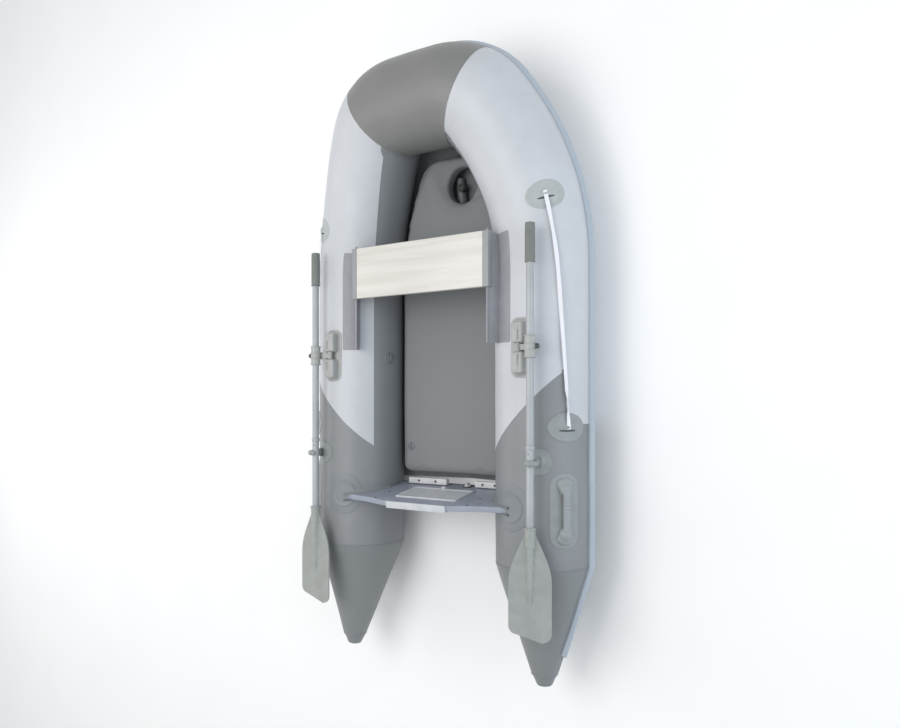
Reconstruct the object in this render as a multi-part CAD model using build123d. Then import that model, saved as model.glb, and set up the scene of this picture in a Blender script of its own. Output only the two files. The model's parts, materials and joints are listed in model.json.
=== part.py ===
"""Inflatable dinghy with air floor, sliding seat, transom, rowlocks and two-piece oars.

Frame: +X towards the bow, +Y to port, +Z up. The origin is under the middle of the boat,
level with the bottom of the tubes. Millimetres. Port pieces are modelled, starboard ones mirrored.
"""

from build123d import *
import math
import os

# ---------------------------------------------------------------- driving dimensions
half_length = 1250.0         # amidships to the bow strake, and to the cone tips
tube_radius = 190.0          # outside of the inflated tube
tube_offset = 460.0          # tube centre line from the boat's centre plane
fabric_wall = 3.0            # coated fabric of tubes, floor and bottom
bow_outer_bend = 1180.0      # centre-line radius where the tube starts to curve in
bow_outer_turn = 32.0        # degrees turned on that radius
bow_inner_bend = 215.0       # centre-line radius of the corner at the bow
bow_seam_turn = 62.0         # heading where the bow section is joined on
sheer_radius = 1360.0        # the tubes rise towards the bow on this radius
sheer_turn = 27.0            # degrees of that rise
side_seam_slope = 1.35       # fore-and-aft run of the slanted side seam per unit outboard
strake_height = 34.0
strake_depth = 17.0
strake_cone_run = 345.0      # how far the strake runs down the cone
cone_length = 420.0
cone_end_radius = 49.0
cone_end_lift = 30.0         # the cone's end stands above and outboard of the tube's axis
cone_end_spread = 15.0
cone_cap_length = 45.0
cone_cap_tip = 27.0
keel_radius = 1200.0         # the bottom rises towards the bow on this radius
skin_deadrise = 0.17         # rise of the bottom per unit outboard
keel_strip_half_width = 30.0
keel_strip_thickness = 3.0
keel_tube_radius = 38.0
keel_tube_fore_radius = 18.0
floor_thickness = 70.0
floor_half_width = 262.0
floor_radius = 2600.0        # the floor rises towards the bow on this radius
floor_fore_corner = 60.0
floor_aft_corner = 40.0
well_radius = 70.0
well_offset = -58.0          # the keel valve's well is to starboard of the centre plane
valve_radius = 19.0
valve_depth = 18.0
valve_flange_radius = 25.0
valve_flange_height = 4.0
valve_cap_radius = 17.0
valve_cap_height = 9.0
keel_valve_radius = 15.0
transom_thickness = 22.0
transom_rake = 9.2           # degrees, top aft
transom_top_rise = 33.0      # above the top of the tubes
transom_flat = 300.0         # width of the flat part of its top edge
transom_foot = 100.0
motor_plate_width = 300.0
motor_plate_thickness = 6.0
motor_plate_rim = 12.0
motor_plate_recess = 2.0
holder_thickness = 6.0
holder_rise = 14.0
holder_disc_radius = 57.0
holder_disc_angle = -15.0    # degrees round the tube from its top, outboard positive
cleat_width = 26.0
cleat_height = 22.0
drain_offset = -72.0
drain_height = 135.0
drain_radius = 12.0
drain_flange_radius = 20.0
seat_length = 668.0
seat_width = 210.0
seat_thickness = 22.0
seat_top_rise = 25.0         # above the top of the tubes
track_width = 24.0
track_height = 28.0
bead_radius = 4.0
bead_clearance = 0.6
flap_thickness = 2.4
slot_play = 4.2              # room for the flap, whose foot follows the bending tube
rail_run = 215.0             # the rail's aft end to its middle, at the seat's mid-travel
rail_sink = 12.0             # the curved length is drawn this deep, then cut by the tube
strap_thickness = 2.0
strap_gap = 48.08            # from the tube's top line to the strap, round the tube
strap_inner = -38.0
flap_foot = -35.0
oar_radius = 14.0
oar_wall = 1.5
oar_height = 54.0            # oar axis above the tube's surface
oar_angle = 14.7
oar_grip_reach = 442.0       # rowlock to the end of the grip
oar_blade_reach = 1066.0     # rowlock to the end of the blade
oar_grip_length = 142.0
oar_grip_radius = 18.0
oar_joint_reach = 356.0      # rowlock to the joint of the two-piece shaft
joint_collar_length = 14.0
socket_reach = 649.0
socket_radius = 20.5
shoulder_reach = 850.0
blade_width = 155.0
blade_thickness = 6.0
blade_slant = 30.0
sleeve_length = 81.0
sleeve_radius = 20.0
sleeve_flange = 2.5
pivot_lean = 30.0            # degrees outboard that the oar's pivot leans when stowed
pivot_radius = 6.0
pivot_clearance = 0.06
washer_radius = 9.0
eye_radius = 15.0
eye_thickness = 8.0
hub_radius = 11.0
hub_length = 28.0
hub_height = 22.0            # hub axis above the tube's top
hub_pin_radius = 4.0
rowlock_length = 223.0
rowlock_width = 88.0
block_width = 50.0
block_crown = 12.0           # block top above the hub axis
pad_thickness = 4.0
clamp_radius = 3.0
clamp_knob_radius = 10.0
clamp_knob_length = 10.0
patch_length = 108.0
patch_width = 150.0
line_width = 16.0
saddle_length = 20.0
saddle_width = 30.0
saddle_rise = 19.0
keeper_radius = 49.0
keeper_angle = 20.0
hook_wall = 5.0
hook_clearance = 0.6
hook_length = 24.0
handle_length = 272.0
handle_width = 112.0
handle_angle = 49.0
handle_rise = 32.0
handle_bar = 12.0
handle_bar_width = 26.0
handle_foot = 34.0
handle_span = 78.0
ring_wire = 1.6
ring_radius = 13.0
ring_corner = 0.2            # the ring's corners are this much fuller than its wire
running_gap = 0.05
side_gap = 1.0
glue_gap = 0.3

# ---------------------------------------------------------------- places along the boat
tube_front_x = half_length - strake_depth - tube_radius
sheer_start = tube_front_x - sheer_radius * math.sin(math.radians(sheer_turn))
front_run = sheer_start + sheer_radius * math.radians(sheer_turn)
outer_turn = math.radians(bow_outer_turn)
corner_run = front_run - bow_inner_bend * (1 - math.sin(outer_turn))
bend_start = corner_run - bow_outer_bend * math.sin(outer_turn)
cone_start = -half_length + cone_cap_length + cone_length
side_seam_x = -0.16 * half_length
transom_x = cone_start + 282.0           # inboard face where it would meet z = 0
seat_x = 0.2944 * half_length
rail_x = 0.2144 * half_length
rowlock_x = 0.024 * half_length
keeper_x = -0.3104 * half_length
handle_x = -0.4528 * half_length
patch_aft_x = -0.2096 * half_length
patch_aft_angle = 52.0
patch_fore_x = 0.4640 * half_length
patch_fore_angle = 35.0
tube_valve_x = 0.0172 * half_length
tube_valve_angle = -78.6
floor_valve_x = -0.2896 * half_length
floor_valve_y = 204.0
well_x = 0.5960 * half_length
floor_aft_x = -0.3832 * half_length
floor_fore_x = 0.7040 * half_length
keel_aft_x = floor_aft_x + 20.0
keel_fore_x = 0.6320 * half_length

# ---------------------------------------------------------------- sizes that follow
tube_top = 2 * tube_radius
inner_radius = tube_radius - fabric_wall
skin_bottom = keel_strip_thickness
skin_top = skin_bottom + fabric_wall
keel_tube_z = skin_top + side_gap + keel_tube_radius
floor_bottom = keel_tube_z + keel_tube_radius + side_gap
floor_top = floor_bottom + floor_thickness
transom_top = tube_top + transom_top_rise
skin_half_width = tube_offset - 0.684 * tube_radius
motor_plate_height = 0.3947 * tube_top
motor_plate_drop = 0.3632 * tube_top     # from the transom's top to the plate's middle
strap_outer = -math.degrees(strap_gap / tube_radius)
seat_top = tube_top + seat_top_rise
bead_y = seat_length / 2 - track_width / 2
bead_z = seat_top - track_height / 2

os.makedirs("parts", exist_ok=True)
nodes = {}


# ---------------------------------------------------------------- helpers
def group(*shapes):
    """Separate solids kept together in one node."""
    return Compound(children=[solid for shape in shapes for solid in shape.solids()])


def both(name, port):
    """Keep a port piece and its starboard mirror image as two nodes."""
    nodes["port_" + name] = group(port)
    nodes["starboard_" + name] = group(mirror(port, about=Plane.XZ))


def pair(name, port):
    """Keep a port piece and its mirror image together in one node."""
    nodes[name] = group(port, mirror(port, about=Plane.XZ))


def bar(start, end, radius):
    """A round bar from one point to another."""
    start, end = Vector(*start), Vector(*end)
    return extrude(Plane(origin=start, z_dir=end - start) * Circle(radius), (end - start).length)


def tube_bar(x_low, x_high, radius):
    """A round bar on the port tube's straight axis."""
    return bar((x_low, tube_offset, tube_radius), (x_high, tube_offset, tube_radius), radius)


def radial(angle, reach):
    """Point offset from the tube's axis, at an angle outboard of its top."""
    lean = math.radians(angle)
    return Vector(0, reach * math.sin(lean), reach * math.cos(lean))


def on_tube(x, angle, rise=0.0):
    """Plane on the straight tube: x towards the bow, y inboard and up, z out of the tube."""
    out = radial(angle, 1)
    centre = Vector(x, tube_offset, tube_radius)
    return Plane(origin=centre + out * (tube_radius + rise), x_dir=(1, 0, 0), z_dir=out)


def centre_line(turn):
    """Plane across the port tube where its heading has turned by an angle in degrees."""
    angle = math.radians(turn)
    if angle <= outer_turn:
        run = bend_start + bow_outer_bend * math.sin(angle)
        side = tube_offset - bow_outer_bend * (1 - math.cos(angle))
    else:
        run = corner_run + bow_inner_bend * (math.sin(angle) - math.sin(outer_turn))
        side = tube_offset - bow_outer_bend * (1 - math.cos(outer_turn))
        side -= bow_inner_bend * (math.cos(outer_turn) - math.cos(angle))
    climb = max(0.0, (run - sheer_start) / sheer_radius)
    x = run if climb == 0 else sheer_start + sheer_radius * math.sin(climb)
    z = tube_radius + sheer_radius * (1 - math.cos(climb))
    ahead = math.cos(angle)
    heading = Vector(ahead * math.cos(climb), -math.sin(angle), ahead * math.sin(climb))
    return Plane(origin=(x, side, z), x_dir=Vector(0, 0, 1).cross(heading), z_dir=heading)


def gores(turns, radius):
    """Straight-sided tube sections between the given headings."""
    planes = [centre_line(turn) for turn in turns]
    pairs = zip(planes, planes[1:])
    return [loft([low * Circle(radius), high * Circle(radius)], ruled=True) for low, high in pairs]


def spread(low, high, steps):
    return [low + (high - low) * step / steps for step in range(steps + 1)]


def walls(outers, inners):
    return [outer - inner for outer, inner in zip(outers, inners)]


def risen(profile, x_aft, x_fore, radius):
    """Run a cross-section forward: straight, then up towards the bow on a radius."""
    axis = Axis((sheer_start, 0, radius), (0, -1, 0))
    turn = math.degrees(math.asin((x_fore - sheer_start) / radius))
    flat = extrude(Plane.YZ.offset(x_aft) * profile, sheer_start - x_aft)
    return flat, revolve(Plane.YZ.offset(sheer_start) * profile, axis, turn)


def risen_height(x, height, radius):
    """Height at x of a line that runs level at this height and then up on a radius."""
    ahead = max(0.0, x - sheer_start)
    return radius - math.sqrt((radius - height) ** 2 - ahead**2)


side_turns = spread(0, bow_outer_turn, 4) + spread(bow_outer_turn, bow_seam_turn, 3)[1:]
nose_turns = spread(bow_seam_turn, 90, 3)
corner = centre_line(90)
outer_straight = tube_bar(cone_start, bend_start, tube_radius)
outer_gores = gores(side_turns, tube_radius)
outer_nose = gores(nose_turns, tube_radius)
outer_front = extrude(corner * Circle(tube_radius), 2 * corner.origin.Y)


# ---------------------------------------------------------------- tubes
def conform(shape, rise):
    """The part of a shape that lies on the straight port tube, up to a thickness."""
    length = 2 * half_length
    shell = tube_bar(-length, length, tube_radius + rise) - tube_bar(-length, length, tube_radius)
    return shape & shell


def make_tubes():
    """Side tubes in a fore and an aft panel, the bow section and its baffle."""
    reach = 1.02 * tube_radius
    slant = side_seam_slope * reach
    inboard, outboard = tube_offset - reach, tube_offset + reach
    aft_outline = Polyline(
        (cone_start - 1, inboard),
        (side_seam_x - slant, inboard),
        (side_seam_x + slant, outboard),
        (cone_start - 1, outboard),
        close=True,
    )
    aft_half = extrude(make_face(aft_outline), 3 * tube_radius)
    straight = outer_straight - tube_bar(cone_start, bend_start, inner_radius)
    valve_seat = on_tube(tube_valve_x, tube_valve_angle, -2 * valve_depth)
    straight -= extrude(valve_seat * Circle(valve_radius + glue_gap), 3 * valve_depth)
    both("tube_aft", straight & aft_half)
    both("tube_fore", group(straight - aft_half, *walls(outer_gores, gores(side_turns, inner_radius))))
    nose = group(*walls(outer_nose, gores(nose_turns, inner_radius)))
    across = 2 * corner.origin.Y
    front = outer_front - extrude(corner * Circle(inner_radius), across)
    nodes["bow_tube"] = group(nose, mirror(nose, about=Plane.XZ), front)
    middle = Plane(origin=corner.origin - Vector(0, corner.origin.Y + fabric_wall / 2, 0), z_dir=(0, 1, 0))
    nodes["bow_baffle"] = group(extrude(middle * Circle(inner_radius - glue_gap), fabric_wall))


def cone_plane(run):
    """Plane across the stern cone, this far aft of where it starts."""
    share = run / cone_length
    side = tube_offset + cone_end_spread * share
    height = tube_radius + cone_end_lift * share
    return Plane(origin=(cone_start - run, side, height), x_dir=(0, 1, 0), z_dir=(-1, 0, 0))


def cone_solid(run, radius, wall):
    end = radius + (cone_end_radius - radius) * run / cone_length
    first, last = cone_plane(0) * Circle(radius - wall), cone_plane(run) * Circle(end - wall)
    return loft([first, last], ruled=True)


def make_cones():
    full = cone_solid(cone_length, tube_radius, 0)
    both("cone", full - cone_solid(cone_length, tube_radius, fabric_wall))
    seam = cone_plane(cone_length) * Circle(cone_end_radius)
    tip = cone_plane(cone_length + cone_cap_length) * Circle(cone_cap_tip)
    pair("cone_caps", loft([seam, tip], ruled=True))


def strake_section(plane, radius):
    """Strake profile seated on a circle of this radius, on the tube's outboard side."""
    half = strake_height / 2
    seat = math.sqrt(radius**2 - half**2)
    shoulder, crown = radius + 0.6 * strake_depth, radius + strake_depth
    outside = [
        (seat, half),
        (shoulder, half),
        (crown, half / 2),
        (crown, -half / 2),
        (shoulder, -half),
        (seat, -half),
    ]
    edges = [ThreePointArc((seat, -half), (radius, 0), (seat, half)), Polyline(*outside)]
    return plane * make_face(Curve() + edges)


def make_strakes():
    """Rub strake from part way down the cone to the middle of the bow."""
    cone_radius = tube_radius + (cone_end_radius - tube_radius) * strake_cone_run / cone_length
    start = cone_plane(0)
    sections = [strake_section(start, tube_radius), strake_section(cone_plane(strake_cone_run), cone_radius)]
    on_cone = loft(sections, ruled=True) - cone_solid(cone_length, tube_radius, 0)
    straight = extrude(strake_section(centre_line(0), tube_radius), -(bend_start - cone_start))
    planes = [centre_line(turn) for turn in side_turns + nose_turns[1:]]
    curved = [
        loft([strake_section(low, tube_radius), strake_section(high, tube_radius)], ruled=True)
        for low, high in zip(planes, planes[1:])
    ]
    front = extrude(strake_section(corner, tube_radius), corner.origin.Y)
    both("rub_strake", group(on_cone, straight, *curved, front))


# ---------------------------------------------------------------- bottom, keel and floor
def inside_plan(inset):
    """Plan of the space inside the tubes' centre line, moved inwards by an inset."""
    port = [(-half_length, tube_offset - inset)]
    for turn in side_turns + nose_turns[1:]:
        plane = centre_line(turn)
        point = plane.origin - plane.x_dir * inset
        port.append((point.X, point.Y))
    mirrored = [(x, -y) for x, y in reversed(port)]
    return make_face(Polyline(*port, *mirrored, close=True))


def vee(half_width, bottom, thickness):
    """V-shaped cross-section of the bottom."""
    rise = skin_deadrise * half_width
    outline = Polyline(
        (-half_width, bottom + rise),
        (0, bottom),
        (half_width, bottom + rise),
        (half_width, bottom + rise + thickness),
        (0, bottom + thickness),
        (-half_width, bottom + rise + thickness),
        close=True,
    )
    return make_face(outline)


def make_bottom():
    """Bottom skin between the tubes and the rubbing strip under the keel."""
    plan = extrude(inside_plan(20.0), tube_radius * 2)
    tubes = [outer_straight, *outer_gores, *outer_nose]
    tubes += [mirror(piece, about=Plane.XZ) for piece in tubes] + [outer_front]
    skin = []
    section = vee(skin_half_width, skin_bottom, fabric_wall)
    for piece in risen(section, transom_x, tube_front_x - 5, keel_radius):
        piece = piece & plan
        for tube in tubes:
            piece = piece - tube
        skin.append(piece)
    nodes["bottom_skin"] = group(*skin)
    rise = skin_deadrise * keel_strip_half_width
    strip = make_face(
        Polyline(
            (-keel_strip_half_width, skin_bottom + rise),
            (-keel_strip_half_width / 2, 0),
            (keel_strip_half_width / 2, 0),
            (keel_strip_half_width, skin_bottom + rise),
            (0, skin_bottom),
            close=True,
        )
    )
    nodes["keel_strip"] = group(*risen(strip, transom_x, 0.72 * half_length, keel_radius))


def keel_section(x, radius):
    """Centre height and radius of the keel tube where it lies on the bottom skin."""
    return risen_height(x, skin_top, keel_radius) + side_gap + radius


def make_keel():
    mid_x, mid_radius = (sheer_start + keel_fore_x) / 2, (keel_tube_radius + keel_tube_fore_radius) / 2
    stations = [
        (keel_aft_x, keel_tube_radius),
        (sheer_start, keel_tube_radius),
        (mid_x, mid_radius),
        (keel_fore_x, keel_tube_fore_radius),
    ]

    def tube(wall):
        rings = []
        for x, radius in stations:
            plane = Plane(origin=(x, 0, keel_section(x, radius)), x_dir=(0, 1, 0), z_dir=(1, 0, 0))
            rings.append(plane * Circle(radius - wall))
        return [loft([low, high], ruled=True) for low, high in zip(rings, rings[1:])]

    outer = tube(0)
    nodes["keel_tube"] = group(*walls(outer, tube(fabric_wall)))
    return outer


def floor_plan(inset):
    """Plan outline of the air floor."""
    half = floor_half_width - inset
    bend = bow_outer_bend - (tube_offset - floor_half_width) - inset
    angle = math.asin((floor_fore_x - inset - bend_start) / bend)
    arc = [(bend_start + bend * math.sin(a), half - bend * (1 - math.cos(a))) for a in (angle / 2, angle)]
    aft, fore = (floor_aft_x + inset, half), (bend_start, half)
    port = Curve() + [Line(aft, fore), ThreePointArc(fore, arc[0], arc[1])]
    starboard = mirror(port, about=Plane.XZ)
    ends = [Line(arc[1], (arc[1][0], -arc[1][1])), Line((aft[0], -half), aft)]
    face = make_face(port + starboard + ends)
    by_x = face.vertices().sort_by(Axis.X)
    face = fillet(by_x[:2], floor_aft_corner - inset)
    return fillet(face.vertices().sort_by(Axis.X)[-2:], floor_fore_corner - inset)


def make_floor():
    """Air floor: a hollow mat with a well over the keel valve."""

    def mat(inset):
        rim = Rectangle(2 * floor_half_width, floor_thickness - 2 * inset)
        profile = Pos(0, floor_bottom + floor_thickness / 2) * rim
        plan = extrude(floor_plan(inset), 2 * tube_radius)
        hole = Pos(well_x, well_offset) * extrude(Circle(well_radius + inset), 2 * tube_radius)
        return [(piece & plan) - hole for piece in risen(profile, floor_aft_x, floor_fore_x, floor_radius)]

    aft, fore = walls(mat(0), mat(fabric_wall))
    valve_hole = Pos(floor_valve_x, floor_valve_y, floor_top - fabric_wall - 1)
    aft -= valve_hole * extrude(Circle(valve_radius + glue_gap), fabric_wall + 2)
    nodes["air_floor"] = group(aft, fore)


# ---------------------------------------------------------------- valves
def valve(plane, radius, depth, flange):
    """Valve body: a barrel through the wall with a flange on the outside."""
    barrel = extrude(plane.offset(-depth) * Circle(radius), depth + valve_flange_height)
    return barrel + extrude(plane * Circle(flange), valve_flange_height)


def valve_cap(plane, radius):
    """Bayonet cap with a finger bar across it."""
    seat = plane.offset(valve_flange_height + glue_gap)
    lid = extrude(seat * Circle(radius), valve_cap_height * 0.5)
    return lid + extrude(seat * Rectangle(2 * radius - 5, radius * 0.4), valve_cap_height)


def make_valves(keel_outer):
    side = on_tube(tube_valve_x, tube_valve_angle)
    pair("tube_valves", valve(side, valve_radius, valve_depth, valve_flange_radius) - flange_under())
    both("valve_cap", valve_cap(side, valve_cap_radius))
    top = Plane(origin=(floor_valve_x, floor_valve_y, floor_top))
    nodes["floor_valve"] = group(valve(top, valve_radius, valve_depth, valve_flange_radius))
    nodes["floor_valve_cap"] = group(valve_cap(top, valve_cap_radius))
    share = (well_x - sheer_start) / (keel_fore_x - sheer_start)
    radius = keel_tube_radius + (keel_tube_fore_radius - keel_tube_radius) * share
    height = keel_section(well_x, radius) + radius + 12.0
    seat = Plane(origin=(well_x, 0.3 * well_offset, height))
    body = valve(seat, keel_valve_radius, 2 * radius * 0.6, keel_valve_radius + 3)
    for piece in keel_outer:
        body = body - piece
    nodes["keel_valve"] = group(body.solids().sort_by(Axis.Z)[-1])
    nodes["keel_valve_cap"] = group(valve_cap(seat, keel_valve_radius - 1))


def flange_under():
    """The band of tube wall that a side valve's flange sits on."""
    wall = tube_bar(tube_valve_x - 60, tube_valve_x + 60, tube_radius)
    seat = on_tube(tube_valve_x, tube_valve_angle, -2 * valve_depth)
    return wall - extrude(seat * Circle(valve_radius), 3 * valve_depth)


# ---------------------------------------------------------------- transom
rake = math.radians(transom_rake)
aft_normal = Vector(-math.cos(rake), 0, -math.sin(rake))
transom_face = Plane(origin=(transom_x, 0, 0), x_dir=(0, -1, 0), z_dir=aft_normal)


def up_rake(height):
    """Distance up the raked transom to a height."""
    return height / math.cos(rake)


def slab(outline, start, thickness):
    """Extrude an outline drawn on the transom's inboard face, counted aft from that face."""
    return extrude(transom_face.offset(start) * outline, thickness)


def make_transom():
    top, foot = up_rake(transom_top), up_rake(transom_foot)
    half, edge = transom_flat / 2, tube_offset - 45.0
    starboard = [
        (-edge, foot),
        (-edge, up_rake(tube_top - 8)),
        (-half - 110, up_rake(tube_top + 12)),
        (-half, top),
    ]
    port = [(-across, up) for across, up in reversed(starboard)]
    outline = make_face(Polyline(*starboard, *port, close=True))
    tube = tube_bar(cone_start, 0, tube_radius)
    tubes = tube + mirror(tube, about=Plane.XZ)
    board = slab(outline, 0, transom_thickness) - tubes
    drain = Pos(-drain_offset, up_rake(drain_height)) * Circle(drain_radius + 3)
    nodes["transom_board"] = group(board - slab(drain, 0, transom_thickness))

    plate = Rectangle(motor_plate_width, motor_plate_height)
    recess = Rectangle(motor_plate_width - 2 * motor_plate_rim, motor_plate_height - 2 * motor_plate_rim)
    at = Pos(0, up_rake(transom_top - motor_plate_drop))
    inner = slab(at * plate, -motor_plate_thickness, motor_plate_thickness)
    inner -= slab(at * recess, -motor_plate_thickness, motor_plate_recess)
    nodes["motor_plate_inner"] = group(inner)
    outer_height = motor_plate_height + 60
    back = Pos(0, top - outer_height / 2) * Rectangle(motor_plate_width - 10, outer_height)
    lip = Pos(0, top + 2) * Rectangle(motor_plate_width - 10, 4)
    over = slab(back, transom_thickness, motor_plate_thickness)
    over += slab(lip, 0, transom_thickness + motor_plate_thickness)
    nodes["motor_plate_outer"] = group(over)

    ring = tube_bar(cone_start, 0, tube_radius + holder_rise) - tube
    inboard = Box(2 * tube_radius, 2 * tube_radius, 2.4 * tube_radius)
    wedge = ring & Pos(transom_x, tube_offset - tube_radius, 0.9 * tube_radius) * inboard
    fore_flange = wedge & slab(outline_band(tube_top - 6), -holder_thickness - glue_gap, holder_thickness)
    aft_flange = wedge & slab(outline_band(tube_top - 6), transom_thickness + glue_gap, holder_thickness)
    disc = on_tube(transom_x - 66, holder_disc_angle, -20)
    patch = conform(extrude(disc * Circle(holder_disc_radius), 60), pad_thickness)
    gap = holder_thickness + side_gap
    sliced = patch - slab(outline_band(tube_top + 30), -gap, transom_thickness + 2 * gap)
    pair("transom_holders", group(fore_flange, aft_flange, *sliced.solids()))


def outline_band(height):
    """A wide outline across one side of the transom, up to a height."""
    low, high = up_rake(transom_foot - 30), up_rake(height)
    edge_inner, edge_outer = tube_offset - tube_radius - 30, tube_offset - 30
    corners = [(-edge_outer, low), (-edge_outer, high), (-edge_inner, high), (-edge_inner, low)]
    return make_face(Polyline(*corners, close=True))


def face_x(height):
    """Where the transom's inboard face stands at a height."""
    return transom_x - height * math.tan(rake)


def make_cleats():
    """Two cleats on the transom that keep the floor's aft end down, and their screws."""
    top = floor_top
    cleats, screws = [], []
    for low, high in ((25.0, 225.0), (-252.0, -118.0)):
        x = face_x(top - cleat_height) + glue_gap
        block = Pos(x + cleat_width / 2, (low + high) / 2, top - cleat_height / 2)
        block *= Box(cleat_width, high - low, cleat_height)
        for share in (0.28, 0.72):
            spot = Pos(x + cleat_width / 2, low + (high - low) * share, top - 12.0)
            block -= spot * extrude(Circle(2.5), 20)
            screw = spot * extrude(Circle(2.4), 12.0) + Pos(0, 0, 12.0) * spot * extrude(Circle(5.0), 2.0)
            screws.append(screw)
        cleats.append(block)
    nodes["floor_cleats"] = group(*cleats)
    nodes["cleat_screws"] = group(*screws)


def make_drain():
    """Drain socket through the transom and the plug that pulls out of it inboard."""
    at = Pos(-drain_offset, up_rake(drain_height))
    flange, barrel = Circle(drain_flange_radius), Circle(drain_radius + 3 - running_gap)
    socket = slab(at * flange, -3, 3) + slab(at * barrel, 0, transom_thickness)
    nodes["drain_socket"] = group(socket - slab(at * Circle(drain_radius), -5, transom_thickness + 10))
    plug = slab(at * Circle(drain_radius - running_gap), -3, 14)
    plug += slab(at * Circle(drain_radius + 3), -3.3 - 4, 4) + slab(at * Rectangle(6, 20), -3.3 - 12, 8.5)
    plug += slab(at * Circle(drain_radius - 1), -3.4, 2)
    nodes["drain_plug"] = group(plug)


def make_ring():
    """D-ring and its saddle near the foot of the inboard motor plate."""
    height = up_rake(transom_top - motor_plate_drop) - motor_plate_height / 2 + motor_plate_rim / 2
    out = -motor_plate_thickness - 4.5
    saddle = slab(Pos(0, height) * Rectangle(13, 9), -motor_plate_thickness - 9, 9)
    pin_plane = transom_face.offset(out)
    centre = pin_plane.from_local_coords((0, height, 0))
    sideways = Vector(0, ring_radius, 0)
    pin = bar(tuple(centre - sideways), tuple(centre + sideways), ring_wire)
    bore = bar(tuple(centre - sideways), tuple(centre + sideways), ring_wire + running_gap)
    nodes["ring_saddle"] = group(saddle - bore)
    wire = Plane(origin=centre - sideways, z_dir=transom_face.y_dir * -1) * Circle(ring_wire)
    loop = revolve(wire, Axis(tuple(centre), tuple(aft_normal)), 180)
    if loop.center().Z > centre.Z:
        loop = revolve(wire, Axis(tuple(centre), tuple(aft_normal * -1)), 180)
    for end in (centre - sideways, centre + sideways):
        pin += Pos(*end) * Sphere(ring_wire + ring_corner)
    nodes["tow_ring"] = group(pin + loop)
    return centre


# ---------------------------------------------------------------- seat
def rail_section(x, shift, depth):
    """Strap on the tube (or reaching into it), flap standing up and the bead on its edge."""
    centre = Vector(0, tube_offset - shift[0], tube_radius + shift[1])

    def spot(angle, reach):
        point = centre + radial(angle, reach)
        return (point.Y, point.Z)

    outer, inner = tube_radius + strap_thickness, tube_radius - depth
    foot_a, foot_b = flap_foot + 0.35, flap_foot - 0.35
    bead = Vector(bead_y, bead_z)
    foot = Vector(*spot(flap_foot, outer))
    down = (foot - bead).normalized()
    across = Vector(-down.Y, down.X) * (flap_thickness / 2)
    neck = down * math.sqrt(bead_radius**2 - (flap_thickness / 2) ** 2)
    neck_a, neck_b = bead + neck + across, bead + neck - across
    crest = bead - down * bead_radius
    mid_outer, mid_inner = (strap_outer + foot_a) / 2, (strap_outer + strap_inner) / 2
    edges = [
        ThreePointArc(spot(strap_outer, outer), spot(mid_outer, outer), spot(foot_a, outer)),
        Line(spot(foot_a, outer), (neck_a.X, neck_a.Y)),
        ThreePointArc((neck_a.X, neck_a.Y), (crest.X, crest.Y), (neck_b.X, neck_b.Y)),
        Line((neck_b.X, neck_b.Y), spot(foot_b, outer)),
        ThreePointArc(spot(foot_b, outer), spot((foot_b + strap_inner) / 2, outer), spot(strap_inner, outer)),
        Line(spot(strap_inner, outer), spot(strap_inner, inner)),
        ThreePointArc(spot(strap_inner, inner), spot(mid_inner, inner), spot(strap_outer, inner)),
        Line(spot(strap_outer, inner), spot(strap_outer, outer)),
    ]
    return Plane.YZ.offset(x) * make_face(Curve() + edges)


def rail_shift(x):
    """How far the tube's axis has moved inboard and up at x, on the outer bend."""
    turn = math.asin(max(0.0, x - bend_start) / bow_outer_bend)
    climb = max(0.0, x - sheer_start)
    return bow_outer_bend * (1 - math.cos(turn)), climb**2 / (2 * sheer_radius)


def make_rails():
    """Seat rails: straight over the straight tube, then lofted over the first gore."""
    aft, fore = rail_x - rail_run, rail_x + rail_run
    lengths = [extrude(rail_section(aft, (0, 0), 0), min(fore, bend_start) - aft)]
    if fore > bend_start:
        sections = [rail_section(x, rail_shift(x), rail_sink) for x in (bend_start, fore)]
        over = loft(sections, ruled=True) - outer_gores[0] - outer_gores[1]
        lengths.append(over.solids().sort_by(SortBy.VOLUME)[-1])
    both("seat_rail", group(*lengths))


def make_seat():
    """Seat board with a channel along each end that slides on the rail's bead."""
    board_half = seat_length / 2 - track_width
    board = Pos(seat_x, 0, seat_top - seat_thickness / 2) * Box(seat_width, 2 * board_half, seat_thickness)
    nodes["seat_board"] = group(fillet(board.edges().filter_by(Axis.Z), 6))
    block = Pos(bead_y, bead_z) * Rectangle(track_width, track_height)
    bore = Pos(bead_y, bead_z) * Circle(bead_radius + bead_clearance)
    out = radial(flap_foot, tube_radius)
    drift = rail_shift(rail_x + rail_run)[0] / 2
    foot = Vector(tube_offset + out.Y - drift, tube_radius + out.Z)
    lean = math.degrees(math.atan2(foot.X - bead_y, bead_z - foot.Y))
    slot = Pos(bead_y, bead_z) * Rot(0, 0, lean) * Pos(0, -track_height)
    slot *= Rectangle(flap_thickness + slot_play, 2 * track_height)
    section = block - bore - slot
    pair("seat_tracks", extrude(Plane.YZ.offset(seat_x - seat_width / 2) * section, seat_width))


# ---------------------------------------------------------------- rowlocks and oars
hub_centre = Vector(rowlock_x, tube_offset, tube_top + hub_height)
oar_centre = Vector(rowlock_x, tube_offset, tube_radius) + radial(oar_angle, tube_radius + oar_height)
pivot_up = radial(pivot_lean, 1)
eye_top = sleeve_radius + sleeve_flange + 0.3


def rounded_pad(plane, length, width, corner_radius, thickness):
    return conform(extrude(plane.offset(-30) * RectangleRounded(length, width, corner_radius), 80), thickness)


def hub_bar(half_length_along, radius):
    """A round bar on the hub's fore-and-aft axis, to both sides of the rowlock."""
    ends = [hub_centre + Vector(side * half_length_along, 0, 0) for side in (-1, 1)]
    return bar(*ends, radius)


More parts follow.
